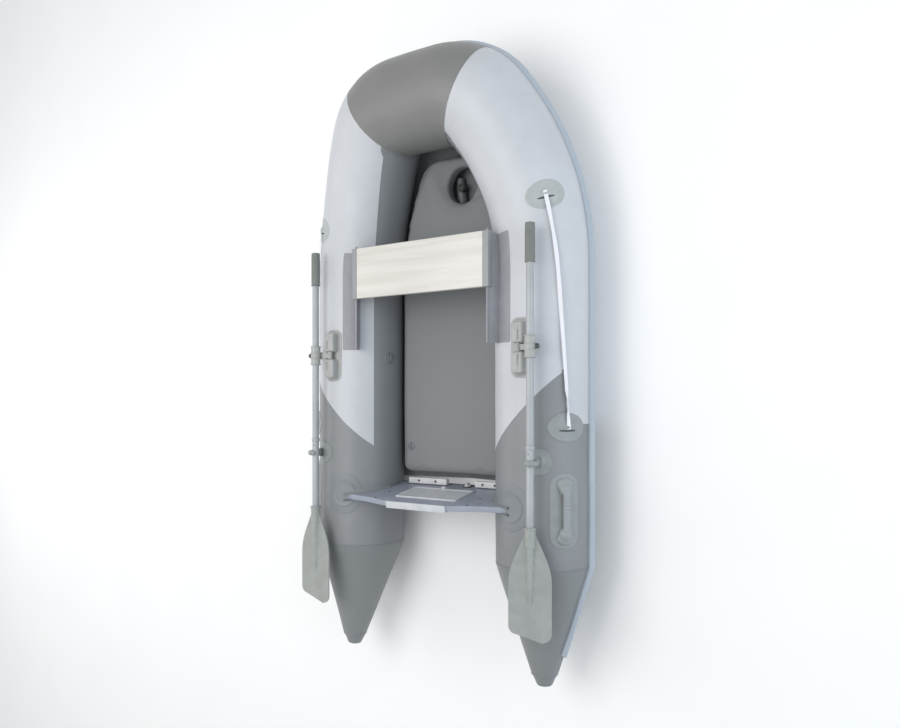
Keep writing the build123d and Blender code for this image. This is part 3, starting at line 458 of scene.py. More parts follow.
class Bench:
    """Blender's operators, used as a modeller uses them, on one piece at a time."""

    @staticmethod
    def clear() -> None:
        """Select nothing."""
        bpy.ops.object.select_all(action="DESELECT")

    @classmethod
    def pick(cls, piece: Piece) -> None:
        """Select one piece and nothing else."""
        cls.clear()
        piece.select_set(True)
        bpy.context.view_layer.objects.active = piece

    @classmethod
    def named(cls, name: str) -> Piece:
        """Name the piece just added and put its place into its mesh."""
        piece = bpy.context.object
        piece.name = name
        piece.data.name = name
        bpy.ops.object.transform_apply(location=True, rotation=True, scale=True)
        return piece

    @classmethod
    def modify(cls, piece: Piece, kind: str, **settings: Any) -> Piece:
        """Add a modifier with its settings and apply it."""
        cls.pick(piece)
        made = piece.modifiers.new(kind, kind)
        for name, value in settings.items():
            setattr(made, name, value)
        bpy.ops.object.modifier_apply(modifier=made.name)
        return piece

    @classmethod
    def edit(cls, piece: Piece, work: Callable[[], None]) -> Piece:
        """Run operators in edit mode with everything selected."""
        cls.pick(piece)
        bpy.ops.object.mode_set(mode="EDIT")
        bpy.ops.mesh.select_all(action="SELECT")
        work()
        bpy.ops.object.mode_set(mode="OBJECT")
        return piece

    @classmethod
    def outwards(cls, piece: Piece) -> Piece:
        """Merge doubles and turn every face of a closed piece outwards."""

        def work() -> None:
            bpy.ops.mesh.remove_doubles(threshold=0.00002)
            bpy.ops.mesh.normals_make_consistent(inside=False)

        return cls.edit(piece, work)

    @classmethod
    def close(cls, piece: Piece, gap: float) -> Piece:
        """Join a rolled sheet along its seam, cap its ends and turn its faces outwards."""

        def work() -> None:
            bpy.ops.mesh.remove_doubles(threshold=gap)
            bpy.ops.mesh.fill_holes(sides=60)
            bpy.ops.mesh.normals_make_consistent(inside=False)

        return cls.edit(piece, work)

    @classmethod
    def smooth(cls, piece: Piece, degrees: float) -> Piece:
        """Shade smooth, with sharp edges past an angle."""
        cls.pick(piece)
        bpy.ops.object.shade_smooth_by_angle(angle=math.radians(degrees))
        return piece

    @classmethod
    def block(cls, name: str, size: Sequence[float], at: Sequence[float], bevel: float = 0.0) -> Piece:
        """A box with its edges rounded."""
        cls.clear()
        bpy.ops.mesh.primitive_cube_add(size=1, location=tuple(at))
        bpy.context.object.scale = tuple(size)
        piece = cls.named(name)
        if bevel:
            cls.modify(piece, "BEVEL", width=bevel, segments=3, limit_method="ANGLE")
        return piece

    @classmethod
    def rod(
        cls, name: str, start: Sequence[float], end: Sequence[float], radius: float,
        tip: float | None = None, bevel: float = 0.0, sides: int = 40,
    ) -> Piece:
        """A round or tapered bar from one point to another, its end edges rounded."""
        first, last = Vector(start), Vector(end)
        cls.clear()
        bpy.ops.mesh.primitive_cone_add(
            vertices=sides,
            radius1=radius,
            radius2=radius if tip is None else tip,
            depth=(last - first).length,
            location=(first + last) / 2,
            rotation=(last - first).to_track_quat("Z", "Y").to_euler(),
        )
        piece = cls.named(name)
        if bevel:
            limit = math.radians(50)
            cls.modify(piece, "BEVEL", width=bevel, segments=3, limit_method="ANGLE", angle_limit=limit)
        return piece

    @classmethod
    def ring(cls, name: str, at: Sequence[float], axis: Vector, radius: float, wire: float) -> Piece:
        """A round-section ring about an axis."""
        cls.clear()
        bpy.ops.mesh.primitive_torus_add(
            location=tuple(at),
            rotation=Vector(axis).to_track_quat("Z", "Y").to_euler(),
            major_radius=radius,
            minor_radius=wire,
            major_segments=64,
            minor_segments=12,
        )
        return cls.named(name)

    @classmethod
    def ball(
        cls, name: str, at: Sequence[float], radius: float, squeeze: Sequence[float] = (1, 1, 1)
    ) -> Piece:
        """A ball, squeezed along its axes."""
        cls.clear()
        bpy.ops.mesh.primitive_uv_sphere_add(segments=32, ring_count=16, radius=radius, location=tuple(at))
        bpy.context.object.scale = tuple(squeeze)
        return cls.named(name)

    @classmethod
    def cloth(cls, name: str, along: Sequence[float], across: Sequence[float], cells: Sequence[int]) -> Piece:
        """A flat rectangle of cells, with its own metres as its UV map."""
        cls.clear()
        middle = ((along[0] + along[1]) / 2, (across[0] + across[1]) / 2, 0)
        columns, rows = cells
        bpy.ops.mesh.primitive_grid_add(
            x_subdivisions=columns, y_subdivisions=rows, size=1, location=middle
        )
        bpy.context.object.scale = (along[1] - along[0], across[1] - across[0], 1)
        piece = cls.named(name)
        cls.chart(piece, points(piece)[:, :2])
        return piece

    @staticmethod
    def chart(piece: Piece, places: Numbers) -> None:
        """Set the UV map from two numbers for each vertex."""
        corners = np.empty(len(piece.data.loops), int)
        piece.data.loops.foreach_get("vertex_index", corners)
        layer = piece.data.uv_layers.active or piece.data.uv_layers.new(name="UVMap")
        layer.data.foreach_set("uv", np.ascontiguousarray(places[corners], float).ravel())

    @classmethod
    def join(cls, name: str, pieces: Sequence[Piece]) -> Piece:
        """Join pieces into the first one."""
        cls.pick(pieces[0])
        for piece in pieces[1:]:
            piece.select_set(True)
        bpy.ops.object.join()
        pieces[0].name = name
        pieces[0].data.name = name
        return pieces[0]

    @classmethod
    def cut(cls, piece: Piece, tool: Piece) -> Piece:
        """Cut a piece with another one, which is then gone."""
        cls.modify(piece, "BOOLEAN", object=tool, operation="DIFFERENCE", solver="EXACT")
        bpy.data.objects.remove(tool)
        return piece

    @classmethod
    def fuse(cls, piece: Piece, cell: float, passes: int = 6) -> Piece:
        """Melt joined shapes into one moulding, with rounded inner corners."""
        cls.modify(piece, "REMESH", mode="VOXEL", voxel_size=cell, use_smooth_shade=True)
        return cls.modify(piece, "SMOOTH", factor=0.5, iterations=passes)

    @classmethod
    def mirrored(cls, piece: Piece, name: str) -> Piece:
        """A copy of a port piece, mirrored to starboard, with its own mesh."""
        twin = piece.copy()
        twin.data = piece.data.copy()
        bpy.context.scene.collection.objects.link(twin)
        twin.name = name
        twin.data.name = name
        put(twin, points(twin) * (1, -1, 1))
        twin.data.flip_normals()
        return twin

    @classmethod
    def pad(cls, name: str, half: Sequence[float], corner: float, steps: Sequence[Sequence[float]]) -> Piece:
        """A flat moulding with rounded corners, whose height follows its inset from the edge.

        Args:
            name: the piece's name.
            half: half its length along x and half its width along y.
            corner: radius of its corners.
            steps: (inset, height) pairs from the edge inwards; the last reaches the middle.

        Returns:
            The closed piece, its underside at z = 0.
        """
        rings = len(steps) - 1
        piece = cls.cloth(name, (-1, 1), (-1, 1), (2 * rings, 2 * rings))
        spots = points(piece)
        level = np.abs(spots[:, :2]).max(axis=1)
        ring = np.rint((1 - level) * rings).astype(int)
        inset = np.array([step[0] for step in steps])[ring]
        height = np.array([step[1] for step in steps])[ring]
        limit = min(half)
        shrink = np.clip(inset, 0, limit)
        across = spots[:, :2] / np.maximum(level, 1e-9)[:, None]
        size = np.array(half)[None, :] - shrink[:, None]
        round_by = np.clip(corner - shrink, 0.0, None)[:, None]
        edge = across * size
        core = size - round_by
        past = np.clip(np.abs(edge) - core, 0, None)
        reach = np.linalg.norm(past, axis=1, keepdims=True)
        both = (past > 0).all(axis=1, keepdims=True)
        arc = np.sign(edge) * (core + past / np.maximum(reach, 1e-9) * round_by)
        edge = np.where(both, arc, edge)
        edge[level < 1e-6] = 0
        put(piece, np.column_stack([edge, height]))
        cls.chart(piece, edge)
        return cls.modify(piece, "SOLIDIFY", thickness=0.0012, offset=-1)


# ------------------------------------------------------------------ the tube's centre line
@dataclass(frozen=True)
class TubePath:
    """Centre line of the tube from the stern cone's end to the middle of the bow and round."""

    radius: float
    offset: float
    cone_start: float
    front: float
    outer_bend: float = 1.18
    outer_turn: float = math.radians(32)
    inner_bend: float = 0.215
    sheer_bend: float = 1.36
    sheer_turn: float = math.radians(27)
    seam_turn: float = math.radians(62)
    cone_length: float = 0.42
    cone_radius: float = 0.049
    cone_lift: float = 0.03
    cone_spread: float = 0.015

    @property
    def sheer_start(self) -> float:
        """Where the tube starts to rise."""
        return self.front - self.sheer_bend * math.sin(self.sheer_turn)

    @property
    def corner_run(self) -> float:
        """Where the corner's centre lies, along the level tube."""
        ahead = self.sheer_start + self.sheer_bend * self.sheer_turn
        return ahead - self.inner_bend * (1 - math.sin(self.outer_turn))

    @property
    def bend_start(self) -> float:
        """Where the tube starts to curve in."""
        return self.corner_run - self.outer_bend * math.sin(self.outer_turn)

    @property
    def corner_start(self) -> float:
        """Length along the tube to the start of the corner."""
        return self.bend_start + self.outer_bend * self.outer_turn

    @property
    def corner_end(self) -> float:
        """Length along the tube to the end of the corner."""
        return self.corner_start + self.inner_bend * (math.pi / 2 - self.outer_turn)

    @property
    def front_side(self) -> float:
        """Distance from the centre plane to the end of the corner."""
        side = self.offset - self.outer_bend * (1 - math.cos(self.outer_turn))
        return side - self.inner_bend * math.cos(self.outer_turn)

    @property
    def middle(self) -> float:
        """Length along the tube to the middle of the bow."""
        return self.corner_end + self.front_side

    @property
    def seam(self) -> float:
        """Length along the tube to the seam of the bow section."""
        return self.corner_start + self.inner_bend * (self.seam_turn - self.outer_turn)

    def length_at(self, x: float) -> float:
        """Length along the tube where its straight or gently bending part stands at x."""
        ahead = max(0.0, x - self.bend_start)
        return min(x, self.bend_start) + self.outer_bend * math.asin(ahead / self.outer_bend)

    def stations(self, length: Numbers) -> tuple[Numbers, Numbers, Numbers, Numbers]:
        """Frames along the tube.

        Args:
            length: lengths along the tube; past the middle they go down the other side.

        Returns:
            Centres, outboard directions, upward directions and radii.
        """
        length = np.asarray(length, float)
        mirror = np.where(length > self.middle, -1.0, 1.0)
        near = np.where(length > self.middle, 2 * self.middle - length, length)
        bend = np.clip((near - self.bend_start) / self.outer_bend, 0, self.outer_turn)
        corner = np.clip((near - self.corner_start) / self.inner_bend, 0, math.pi / 2 - self.outer_turn)
        angle = bend + corner
        straight = np.minimum(near, self.bend_start)
        run = straight + self.outer_bend * np.sin(bend)
        run += self.inner_bend * (np.sin(angle) - np.sin(bend)) * (corner > 0)
        side = self.offset - self.outer_bend * (1 - np.cos(bend))
        side -= self.inner_bend * (np.cos(bend) - np.cos(angle)) * (corner > 0)
        side -= np.clip(near - self.corner_end, 0, None)
        climb = np.clip((run - self.sheer_start) / self.sheer_bend, 0, None)
        x = np.where(climb > 0, self.sheer_start + self.sheer_bend * np.sin(climb), run)
        z = self.radius + self.sheer_bend * (1 - np.cos(climb))
        share = np.clip((self.cone_start - near) / self.cone_length, 0, None)
        side += self.cone_spread * share
        z += self.cone_lift * share
        radius = self.radius + (self.cone_radius - self.radius) * share
        ahead = np.cos(angle)
        heading = np.column_stack([ahead * np.cos(climb), -np.sin(angle), ahead * np.sin(climb)])
        heading[near <= self.cone_start] = (1, 0, 0)
        out = np.cross((0, 0, 1), heading)
        out /= np.linalg.norm(out, axis=1, keepdims=True)
        up = np.cross(heading, out)
        flip = np.column_stack([np.ones_like(mirror), mirror, np.ones_like(mirror)])
        centre = np.column_stack([x, side, z])
        return centre * flip, out * flip, up * flip, radius

    def crease(self, length: Numbers, angle: Numbers) -> Numbers:
        """How far the fabric stands out or in, in puckers along the seams and soft waves.

        Args:
            length: lengths along the tube.
            angle: angles round it, outboard from its top, in radians.

        Returns:
            The height to add at each place.
        """
        near = np.where(length > self.middle, 2 * self.middle - length, length)
        away = near - self.seam
        inboard = 0.35 + 0.65 * (0.5 - 0.5 * np.sin(angle))
        gather = np.sin(angle * 23 + 1.7 * np.sin(angle * 5)) + 0.6 * np.sin(angle * 37 + 2.0)
        puckers = 0.0011 * inboard * gather * np.exp(-((away / 0.04) ** 2)) * np.tanh(np.abs(away) / 0.01)
        tuck = -0.0016 * np.exp(-((away / 0.012) ** 2))
        aft = near - self.cone_start
        tuck += -0.0012 * np.exp(-((aft / 0.012) ** 2))
        waves = 0.0007 * np.sin(near * 21 + 2.0 * np.sin(angle * 2)) * np.sin(angle * 3 + near * 6)
        corner = np.exp(-(((near - self.corner_start - 0.03) / 0.1) ** 2)) * np.clip(-np.sin(angle), 0, 1)
        folds = 0.0016 * corner * np.sin(near * 150 + 1.3 * np.sin(angle * 4))
        return puckers + tuck + waves + folds

    def wrap(self, piece: Piece, along: float = 0.0, about: float = 0.0, creased: bool = False) -> Piece:
        """Lay a flat piece round the port tube.

        Args:
            piece: modelled with x along the tube, y round it and z out of it.
            along: length along the tube of the piece's x = 0.
            about: angle outboard from the tube's top, in degrees, of the piece's y = 0.
            creased: whether the piece follows the fabric's puckers.

        Returns:
            The same piece, on the tube.
        """
        flat = points(piece)
        length = flat[:, 0] + along
        centre, out, up, radius = self.stations(length)
        angle = math.radians(about) + flat[:, 1] / radius
        reach = radius + flat[:, 2]
        if creased:
            reach = reach + self.crease(length, angle)
        spots = centre + out * (reach * np.sin(angle))[:, None] + up * (reach * np.cos(angle))[:, None]
        return Bench.outwards(put(piece, spots))

    def spot(self, length: float, angle: float, rise: float = 0.0) -> tuple[Vector, Vector]:
        """A point on the port tube and the direction out of it there."""
        centre, out, up, radius = self.stations(np.array([length]))
        lean = math.radians(angle)
        normal = Vector(out[0]) * math.sin(lean) + Vector(up[0]) * math.cos(lean)
        return Vector(centre[0]) + normal * (radius[0] + rise), normal


# ------------------------------------------------------------------ what every sub-assembly shares
@dataclass
class Assembly:
    """A sub-assembly of the boat."""

    path: TubePath
    frame: dict[str, Any]

    def fit(self, piece: Piece, finish: Finish, body: str, *nodes: str, angle: float = 35.0) -> Piece:
        """Finish a piece, fix it to its body and let it stand for CAD nodes.

        Args:
            piece: the finished mesh.
            finish: its surface.
            body: the body it moves with.
            nodes: the CAD nodes it stands for.
            angle: edges sharper than this stay sharp.

        Returns:
            The piece.
        """
        Bench.smooth(piece, angle)
        finish.on(piece)
        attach(piece, body)
        if nodes:
            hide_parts(*nodes)
        log.info("%s: %d faces on %s", piece.name, len(piece.data.polygons), body)
        return piece

    def fit_both(self, piece: Piece, finish: Finish, body: str, node: str = "", angle: float = 35.0) -> None:
        """Fit a port piece and its mirror image; {} in a name stands for the side."""
        name = piece.name
        twin = Bench.mirrored(piece, "starboard_" + name)
        piece.name = "port_" + name
        piece.data.name = piece.name
        for side, half in zip(BOTH, (piece, twin)):
            nodes = [node.format(side)] if node else []
            self.fit(half, finish, body.format(side), *nodes, angle=angle)

    def dress(self, node: str, finish: Finish) -> None:
        """Give a CAD node a finish."""
        finish.on(self.frame["nodes"][node])


# ------------------------------------------------------------------ hull
@dataclass
class Hull(Assembly):
    """The tubes, cones and rub strake."""

    skin: float = 0.0011
    lower_seam: float = -55.4
    upper_seam: float = 47.5
    seam_x: float = -0.2
    seam_slope: float = 1.35
    patch_end: float = -0.25
    strake_run: float = 0.345
    ribs: tuple[tuple[float, float], ...] = (
        (0.0, -0.001), (-17.0, -0.001), (-17.0, 8.5), (-15.2, 11.0), (-12.6, 11.6), (-10.4, 10.2),
        (-8.6, 13.6), (-6.0, 16.0), (-3.8, 14.4), (-2.2, 16.6), (0.0, 17.0), (2.2, 16.6),
        (3.8, 14.4), (6.0, 16.0), (8.6, 13.6), (10.4, 10.2), (12.6, 11.6), (15.2, 11.0),
        (17.0, 8.5), (17.0, -0.001), (0.0, -0.001),
    )

    def build(self) -> None:
        """Build every piece of the hull's tubes."""
        self.aft_tubes()
        self.fore_panels()
        self.bow()
        self.cones()
        self.caps()
        self.strakes()
        self.dress("bow_baffle", Finish.BOW_PANEL)

    def shell(self, name: str, start: float, end: float, low: float, high: float, rise: float) -> Piece:
        """A panel of fabric on the tube, between two lengths and two angles in degrees."""
        radius = self.path.radius
        across = (math.radians(low) * radius, math.radians(high) * radius)
        cells = (round((end - start) / 0.016), round((across[1] - across[0]) / 0.0105))
        panel = Bench.cloth(name, (start, end), across, cells)
        put(panel, points(panel) + (0, 0, rise))
        return self.path.wrap(panel, creased=True)

    def aft_tubes(self) -> None:
        """The side tubes' own fabric, from the cone to the bow section."""
        panel = self.shell("tube", self.path.cone_start - 0.002, self.path.seam + 0.02, -180, 180, 0.0)
        self.fit_both(panel, Finish.DARK_PANEL, "hull", "{}_tube_aft", angle=60)

    def fore_panels(self) -> None:
        """The pale panels over the fore part, with their slanted aft seam."""
        panel = self.shell("fore_panel", -0.45, self.path.seam, self.lower_seam, 176, 0.0003)
        slope = Vector((1, -self.seam_slope, 0))
        corner = (self.seam_x, self.path.offset, 0)
        limit = math.sin(math.radians(self.upper_seam)) * self.path.radius + self.path.offset
        top = self.path.radius
        for polygon in panel.data.polygons:
            middle = polygon.center
            upper = middle.z > top and middle.y < limit and middle.x < 0.1
            polygon.select = upper or middle.y < self.path.offset
        self.bisect(panel, corner, slope)
        for polygon in panel.data.polygons:
            middle = polygon.center
            polygon.select = middle.y >= limit or (middle.z <= top and middle.y >= self.path.offset)
        self.bisect(panel, (self.patch_end, 0, 0), Vector((1, 0, 0)))
        Bench.modify(panel, "SOLIDIFY", thickness=self.skin, offset=1)
        self.fit_both(panel, Finish.LIGHT_PANEL, "hull", "{}_tube_fore", angle=50)

    @staticmethod
    def bisect(piece: Piece, at: Sequence[float], normal: Vector) -> None:
        """Cut away the selected faces behind a plane."""
        chosen = [polygon.index for polygon in piece.data.polygons if polygon.select]
        Bench.pick(piece)
        bpy.ops.object.mode_set(mode="EDIT")
        bpy.ops.mesh.select_mode(type="FACE")
        bpy.ops.mesh.select_all(action="DESELECT")
        bpy.ops.object.mode_set(mode="OBJECT")
        for index in chosen:
            piece.data.polygons[index].select = True
        bpy.ops.object.mode_set(mode="EDIT")
        bpy.ops.mesh.bisect(plane_co=tuple(at), plane_no=tuple(normal), clear_inner=True)
        bpy.ops.mesh.select_all(action="DESELECT")
        bpy.ops.object.mode_set(mode="OBJECT")

    def bow(self) -> None:
        """The dark bow section between the two seams."""
        start = self.path.seam - 0.012
        panel = self.shell("bow_section", start, 2 * self.path.middle - start, -180, 180, 0.0012)
        Bench.modify(panel, "SOLIDIFY", thickness=self.skin, offset=1)
        self.fit(panel, Finish.BOW_PANEL, "hull", "bow_tube", angle=50)

    def cones(self) -> None:
        """The stern cones' panels."""
        start, end = self.path.cone_start - self.path.cone_length, self.path.cone_start
        around = math.pi * self.path.radius
        cone = Bench.cloth("cone_skin", (start, end), (-around, around), (28, 112))
        flat = points(cone)
        share = (end - flat[:, 0]) / self.path.cone_length
        scale = 1 + (self.path.cone_radius / self.path.radius - 1) * share
        put(cone, np.column_stack([flat[:, 0], flat[:, 1] * scale, np.full(len(flat), 0.0002)]))
        self.path.wrap(cone, creased=True)
        Bench.modify(cone, "SOLIDIFY", thickness=self.skin, offset=1)
        self.fit_both(cone, Finish.CONE, "hull", "{}_cone", angle=50)

    def caps(self) -> None:
        """Moulded caps on the cones' ends, with a bead where they are joined on."""
        seam = self.path.cone_start - self.path.cone_length
        ends = np.array([seam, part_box("cone_caps")[0].x])
        base, tip = (Vector(centre) for centre in self.path.stations(ends)[0])
        foot = base + Vector((0.004, 0, 0))
        cap = Bench.rod("cap", foot, tip, self.path.cone_radius + 0.0012, 0.0275, sides=64)
        limit = math.radians(40)
        Bench.modify(cap, "BEVEL", width=0.006, segments=4, limit_method="ANGLE", angle_limit=limit)
        bead = Bench.ring("bead", base, Vector((1, 0, 0)), self.path.cone_radius + 0.0008, 0.0018)
        self.fit_both(Bench.join("cone_cap", [cap, bead]), Finish.CONE, "hull", "cone_caps")

    def strakes(self) -> None:
        """The ribbed rub strake along the tube's outboard side and down the cone."""
        start = self.path.cone_start - self.strake_run - 0.02
        columns = len(self.ribs) - 1
        strake = Bench.cloth("strake", (start, self.path.middle), (0, 1), (210, columns))
        flat = points(strake)
        step = np.rint(flat[:, 1] * columns).astype(int)
        profile = np.array(self.ribs)[step] * 0.001
        Bench.chart(strake, np.column_stack([flat[:, 0], 0.5 + profile[:, 0] / 0.034]))
        put(strake, np.column_stack([flat[:, 0], profile[:, 0], profile[:, 1]]))
        self.path.wrap(strake, about=90.0)

        def close_ends() -> None:
            bpy.ops.mesh.bisect(
                plane_co=(start + 0.02, 0, self.path.radius + 0.024),
                plane_no=Vector((1, 0, -0.55)).normalized(),
                use_fill=True,
                clear_inner=True,
            )
            bpy.ops.mesh.select_all(action="SELECT")
            bpy.ops.mesh.fill_holes(sides=60)
            bpy.ops.mesh.select_all(action="SELECT")
            bpy.ops.mesh.normals_make_consistent(inside=False)

        Bench.edit(strake, close_ends)
        self.fit_both(strake, Finish.STRAKE, "hull", "{}_rub_strake", angle=28)


# ------------------------------------------------------------------ floor and bottom
@dataclass
class Floor(Assembly):
    """The air floor with its well, and the bottom under it."""

    half_width: float = 0.262
    bend: float = 2.6
    aft_corner: float = 0.04
    fore_corner: float = 0.06
    thickness: float = 0.07
    well: tuple[float, float] = (0.745, -0.058)
    well_radius: float = 0.07

    def build(self) -> None:
        """Build the floor and dress the bottom."""
        self.mat()
        self.dress("bottom_skin", Finish.BOTTOM)
        self.dress("keel_strip", Finish.STRAP)
        self.dress("keel_tube", Finish.BOTTOM)

    def risen(self, x: Numbers, height: float) -> Numbers:
        """Height at x of a surface that runs level and then up towards the bow."""
        ahead = np.clip(x - self.path.sheer_start, 0, None)
        return self.bend - np.sqrt((self.bend - height) ** 2 - ahead**2)

    def half_at(self, x: Numbers, aft: float, fore: float) -> Numbers:
        """Half width of the floor's plan at x."""
        bend = self.path.outer_bend - (self.path.offset - self.half_width)
        turn = np.arcsin(np.clip((x - self.path.bend_start) / bend, 0, 0.9))
        side = self.half_width - bend * (1 - np.cos(turn))
        for corner, inset in ((self.aft_corner, x - aft), (self.fore_corner, fore - x)):
            short = np.clip(corner - inset, 0, corner)
            side = side - corner + np.sqrt(corner**2 - short**2)
        return side

    def mat(self) -> None:
        """The inflated mat: cut out, filled, and sunk softly round its well."""
        low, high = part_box("air_floor")
        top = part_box("floor_valve")[0].z + 0.018
        aft, fore = low.x + 0.001, high.x - 0.012
        mat = Bench.cloth("air_mat", (0, 1), (-1, 1), (150, 56))
        flat = points(mat)
        eased = flat[:, 0] - 0.045 * np.sin(2 * math.pi * flat[:, 0]) / (2 * math.pi)
        x = aft + (fore - aft) * eased
        side = self.half_at(x, aft, fore)
        put(mat, np.column_stack([x, flat[:, 1] * side, self.risen(x, top)]))
        Bench.modify(mat, "SOLIDIFY", thickness=self.thickness, offset=-1)
        centre = Vector((self.well[0], self.well[1], 0))
        hole = Bench.rod("well", centre, centre + Vector((0, 0, 0.4)), self.well_radius + 0.004, sides=64)
        Bench.cut(mat, hole)
        Bench.fuse(mat, 0.008, 14)
        self.inflate(mat)
        Bench.modify(mat, "SUBSURF", levels=1, render_levels=1)
        self.sink(mat)
        self.fit(mat, Finish.FLOOR, "hull", "air_floor", angle=80)

    def inflate(self, mat: Piece, frames: int = 14, limit: float = 0.006) -> None:
        """Fill the mat with air by cloth simulation, with a limit on how far it swells."""
        start = points(mat)
        made = mat.modifiers.new("air", "CLOTH")
        made.settings.use_pressure = True
        made.settings.uniform_pressure_force = 3.0
        made.settings.effector_weights.gravity = 0.0
        made.settings.quality = 4
        scene = bpy.context.scene
        scene.frame_start, scene.frame_end = 1, frames
        for number in range(1, frames + 1):
            scene.frame_set(number)
        Bench.pick(mat)
        bpy.ops.object.modifier_apply(modifier=made.name)
        scene.frame_set(1)
        moved = points(mat) - start
        length = np.linalg.norm(moved, axis=1, keepdims=True)
        put(mat, start + moved * np.minimum(1.0, limit / np.maximum(length, 1e-9)))

    def sink(self, mat: Piece) -> None:
        """Draw the floor down softly round its well, with a raised roll outside that."""
        spots = points(mat)
        away = np.hypot(spots[:, 0] - self.well[0], spots[:, 1] - self.well[1])
        upper = spots[:, 2] > self.risen(spots[:, 0], 0.154) - 0.5 * self.thickness
        near = np.clip((0.145 - away) / 0.075, 0, 1)
        dish = 0.015 * near**2 * (3 - 2 * near)
        roll = 0.004 * np.exp(-(((away - 0.158) / 0.02) ** 2))
        bays = 0.0012 * np.sin(spots[:, 0] * 9.0) * np.cos(spots[:, 1] * 12.0)
        spots[:, 2] += np.where(upper, roll - dish + bays, 0.0)
        put(mat, spots)


# ------------------------------------------------------------------ transom
@dataclass
class Transom(Assembly):
    """The transom board, its plates, holders, cleats, drain and ring."""

    rake: float = math.radians(9.2)
    thickness: float = 0.022
    foot: float = 0.1
    edge_inset: float = 0.045
    flat: float = 0.15
    plate: tuple[float, float] = (0.3, 0.15)
    disc_angle: float = -15.0
    disc_radius: float = 0.057

    def build(self) -> None:
        """Build every piece of the transom."""
        self.board()
        self.plates()
        self.holders()
        self.cleats()
        for node, finish in (
            # painted shade: the drain socket takes the dark of the shaded gap round the pale plug
            ("drain_socket", Finish.SHADOW),
            ("drain_plug", Finish.CLEAT),
            ("ring_saddle", Finish.PLATE),
            ("tow_ring", Finish.STEEL),
            ("cleat_screws", Finish.SCREW),
        ):
            self.dress(node, finish)

    @property
    def face_x(self) -> float:
        """Where the inboard face would meet the ground."""
        low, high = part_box("transom_board")
        return high.x + low.z * math.tan(self.rake)

    @property
    def top(self) -> float:
        """Length up the board to its top edge."""
        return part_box("transom_board")[1].z / math.cos(self.rake)

    def lean(self, piece: Piece) -> Piece:
        """Stand a piece drawn flat (x to port, y up the board, z inboard) on the raked face."""
        flat = points(piece)
        aft, up = math.sin(self.rake), math.cos(self.rake)
        x = self.face_x - flat[:, 1] * aft + flat[:, 2] * up
        z = flat[:, 1] * up + flat[:, 2] * aft
        return Bench.outwards(put(piece, np.column_stack([x, flat[:, 0], z])))

    def outline(self, name: str, corners: Sequence[Sequence[float]], thickness: float, bevel: float) -> Piece:
        """A flat plate with rounded edges from its corners, centred on z = 0."""
        curve = bpy.data.curves.new(name, "CURVE")
        curve.dimensions = "2D"
        curve.fill_mode = "BOTH"
        curve.extrude = thickness / 2 - bevel
        curve.bevel_depth = bevel
        curve.bevel_resolution = 3
        curve.offset = -bevel
        line = curve.splines.new("POLY")
        line.points.add(len(corners) - 1)
        for point, corner in zip(line.points, corners):
            point.co = (corner[0], corner[1], 0, 1)
        line.use_cyclic_u = True
        piece = bpy.data.objects.new(name, curve)
        bpy.context.scene.collection.objects.link(piece)
        Bench.pick(piece)
        bpy.ops.object.convert(target="MESH")
        return Bench.outwards(bpy.context.object)

    def board(self) -> None:
        """The board, cut to its shoulders and to the tubes' sides."""
        top = self.top
        edge = self.path.offset - self.edge_inset
        tube_top = 2 * self.path.radius
        shoulder = [(-edge, self.foot), (-edge, tube_top - 0.008), (-self.flat - 0.13, tube_top + 0.008)]
        shoulder += [(-self.flat - 0.05, top - 0.012), (-self.flat - 0.02, top - 0.003)]
        shoulder += [(-self.flat + 0.01, top)]
        corners = shoulder + [(-across, up) for across, up in reversed(shoulder)]
        board = self.outline("board", corners, self.thickness, 0.002)
        put(board, points(board) - (0, 0, self.thickness / 2))
        self.lean(board)
        for side in (1, -1):
            at = Vector((-0.6, side * self.path.offset, self.path.radius))
            aft, fore = at - Vector((0.3, 0, 0)), at + Vector((0.4, 0, 0))
            tube = Bench.rod("tube", aft, fore, self.path.radius, sides=96)
            Bench.cut(board, tube)
        self.fit(board, Finish.BOARD, "hull", "transom_board")
        heads = []
        for across, up in ((0.226, 0.386), (0.226, 0.29), (-0.226, 0.386), (-0.226, 0.29)):
            head = Bench.rod("head", (across, up, 0), (across, up, 0.0016), 0.0042, bevel=0.0006, sides=20)
            heads.append(head)
        self.fit(self.lean(Bench.join("board_screws", heads)), Finish.SCREW, "hull")

    def plates(self) -> None:
        """Motor plates on both faces, with a rim and a lip over the top."""
        low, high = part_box("motor_plate_inner")
        middle = (low.z + high.z) / 2 / math.cos(self.rake)
        half = (self.plate[0] / 2, self.plate[1] / 2)
        steps = [(0, 0.0), (0.0004, 0.004), (0.002, 0.0058), (0.006, 0.006), (0.0105, 0.006), (0.012, 0.0044)]
        steps += [(0.014, 0.0038), (0.03, 0.0038), (0.05, 0.0038), (0.075, 0.0038)]
        inner = Bench.pad("motor_pad_inner", half, 0.008, steps)
        put(inner, points(inner) + (0, middle, 0.0002))
        self.fit(self.lean(inner), Finish.PLATE, "hull", "motor_plate_inner")

        top = self.top
        width = self.plate[0] - 0.01
        back = Bench.block("back", (width, 0.21, 0.006), (0, top - 0.105, -self.thickness - 0.003), 0.0015)
        lip = Bench.block("lip", (width, 0.0042, self.thickness + 0.0066), (0, top + 0.0021, -0.0139), 0.0012)
        outer = Bench.join("motor_pad_outer", [back, lip])
        self.fit(self.lean(outer), Finish.PLATE, "hull", "motor_plate_outer")

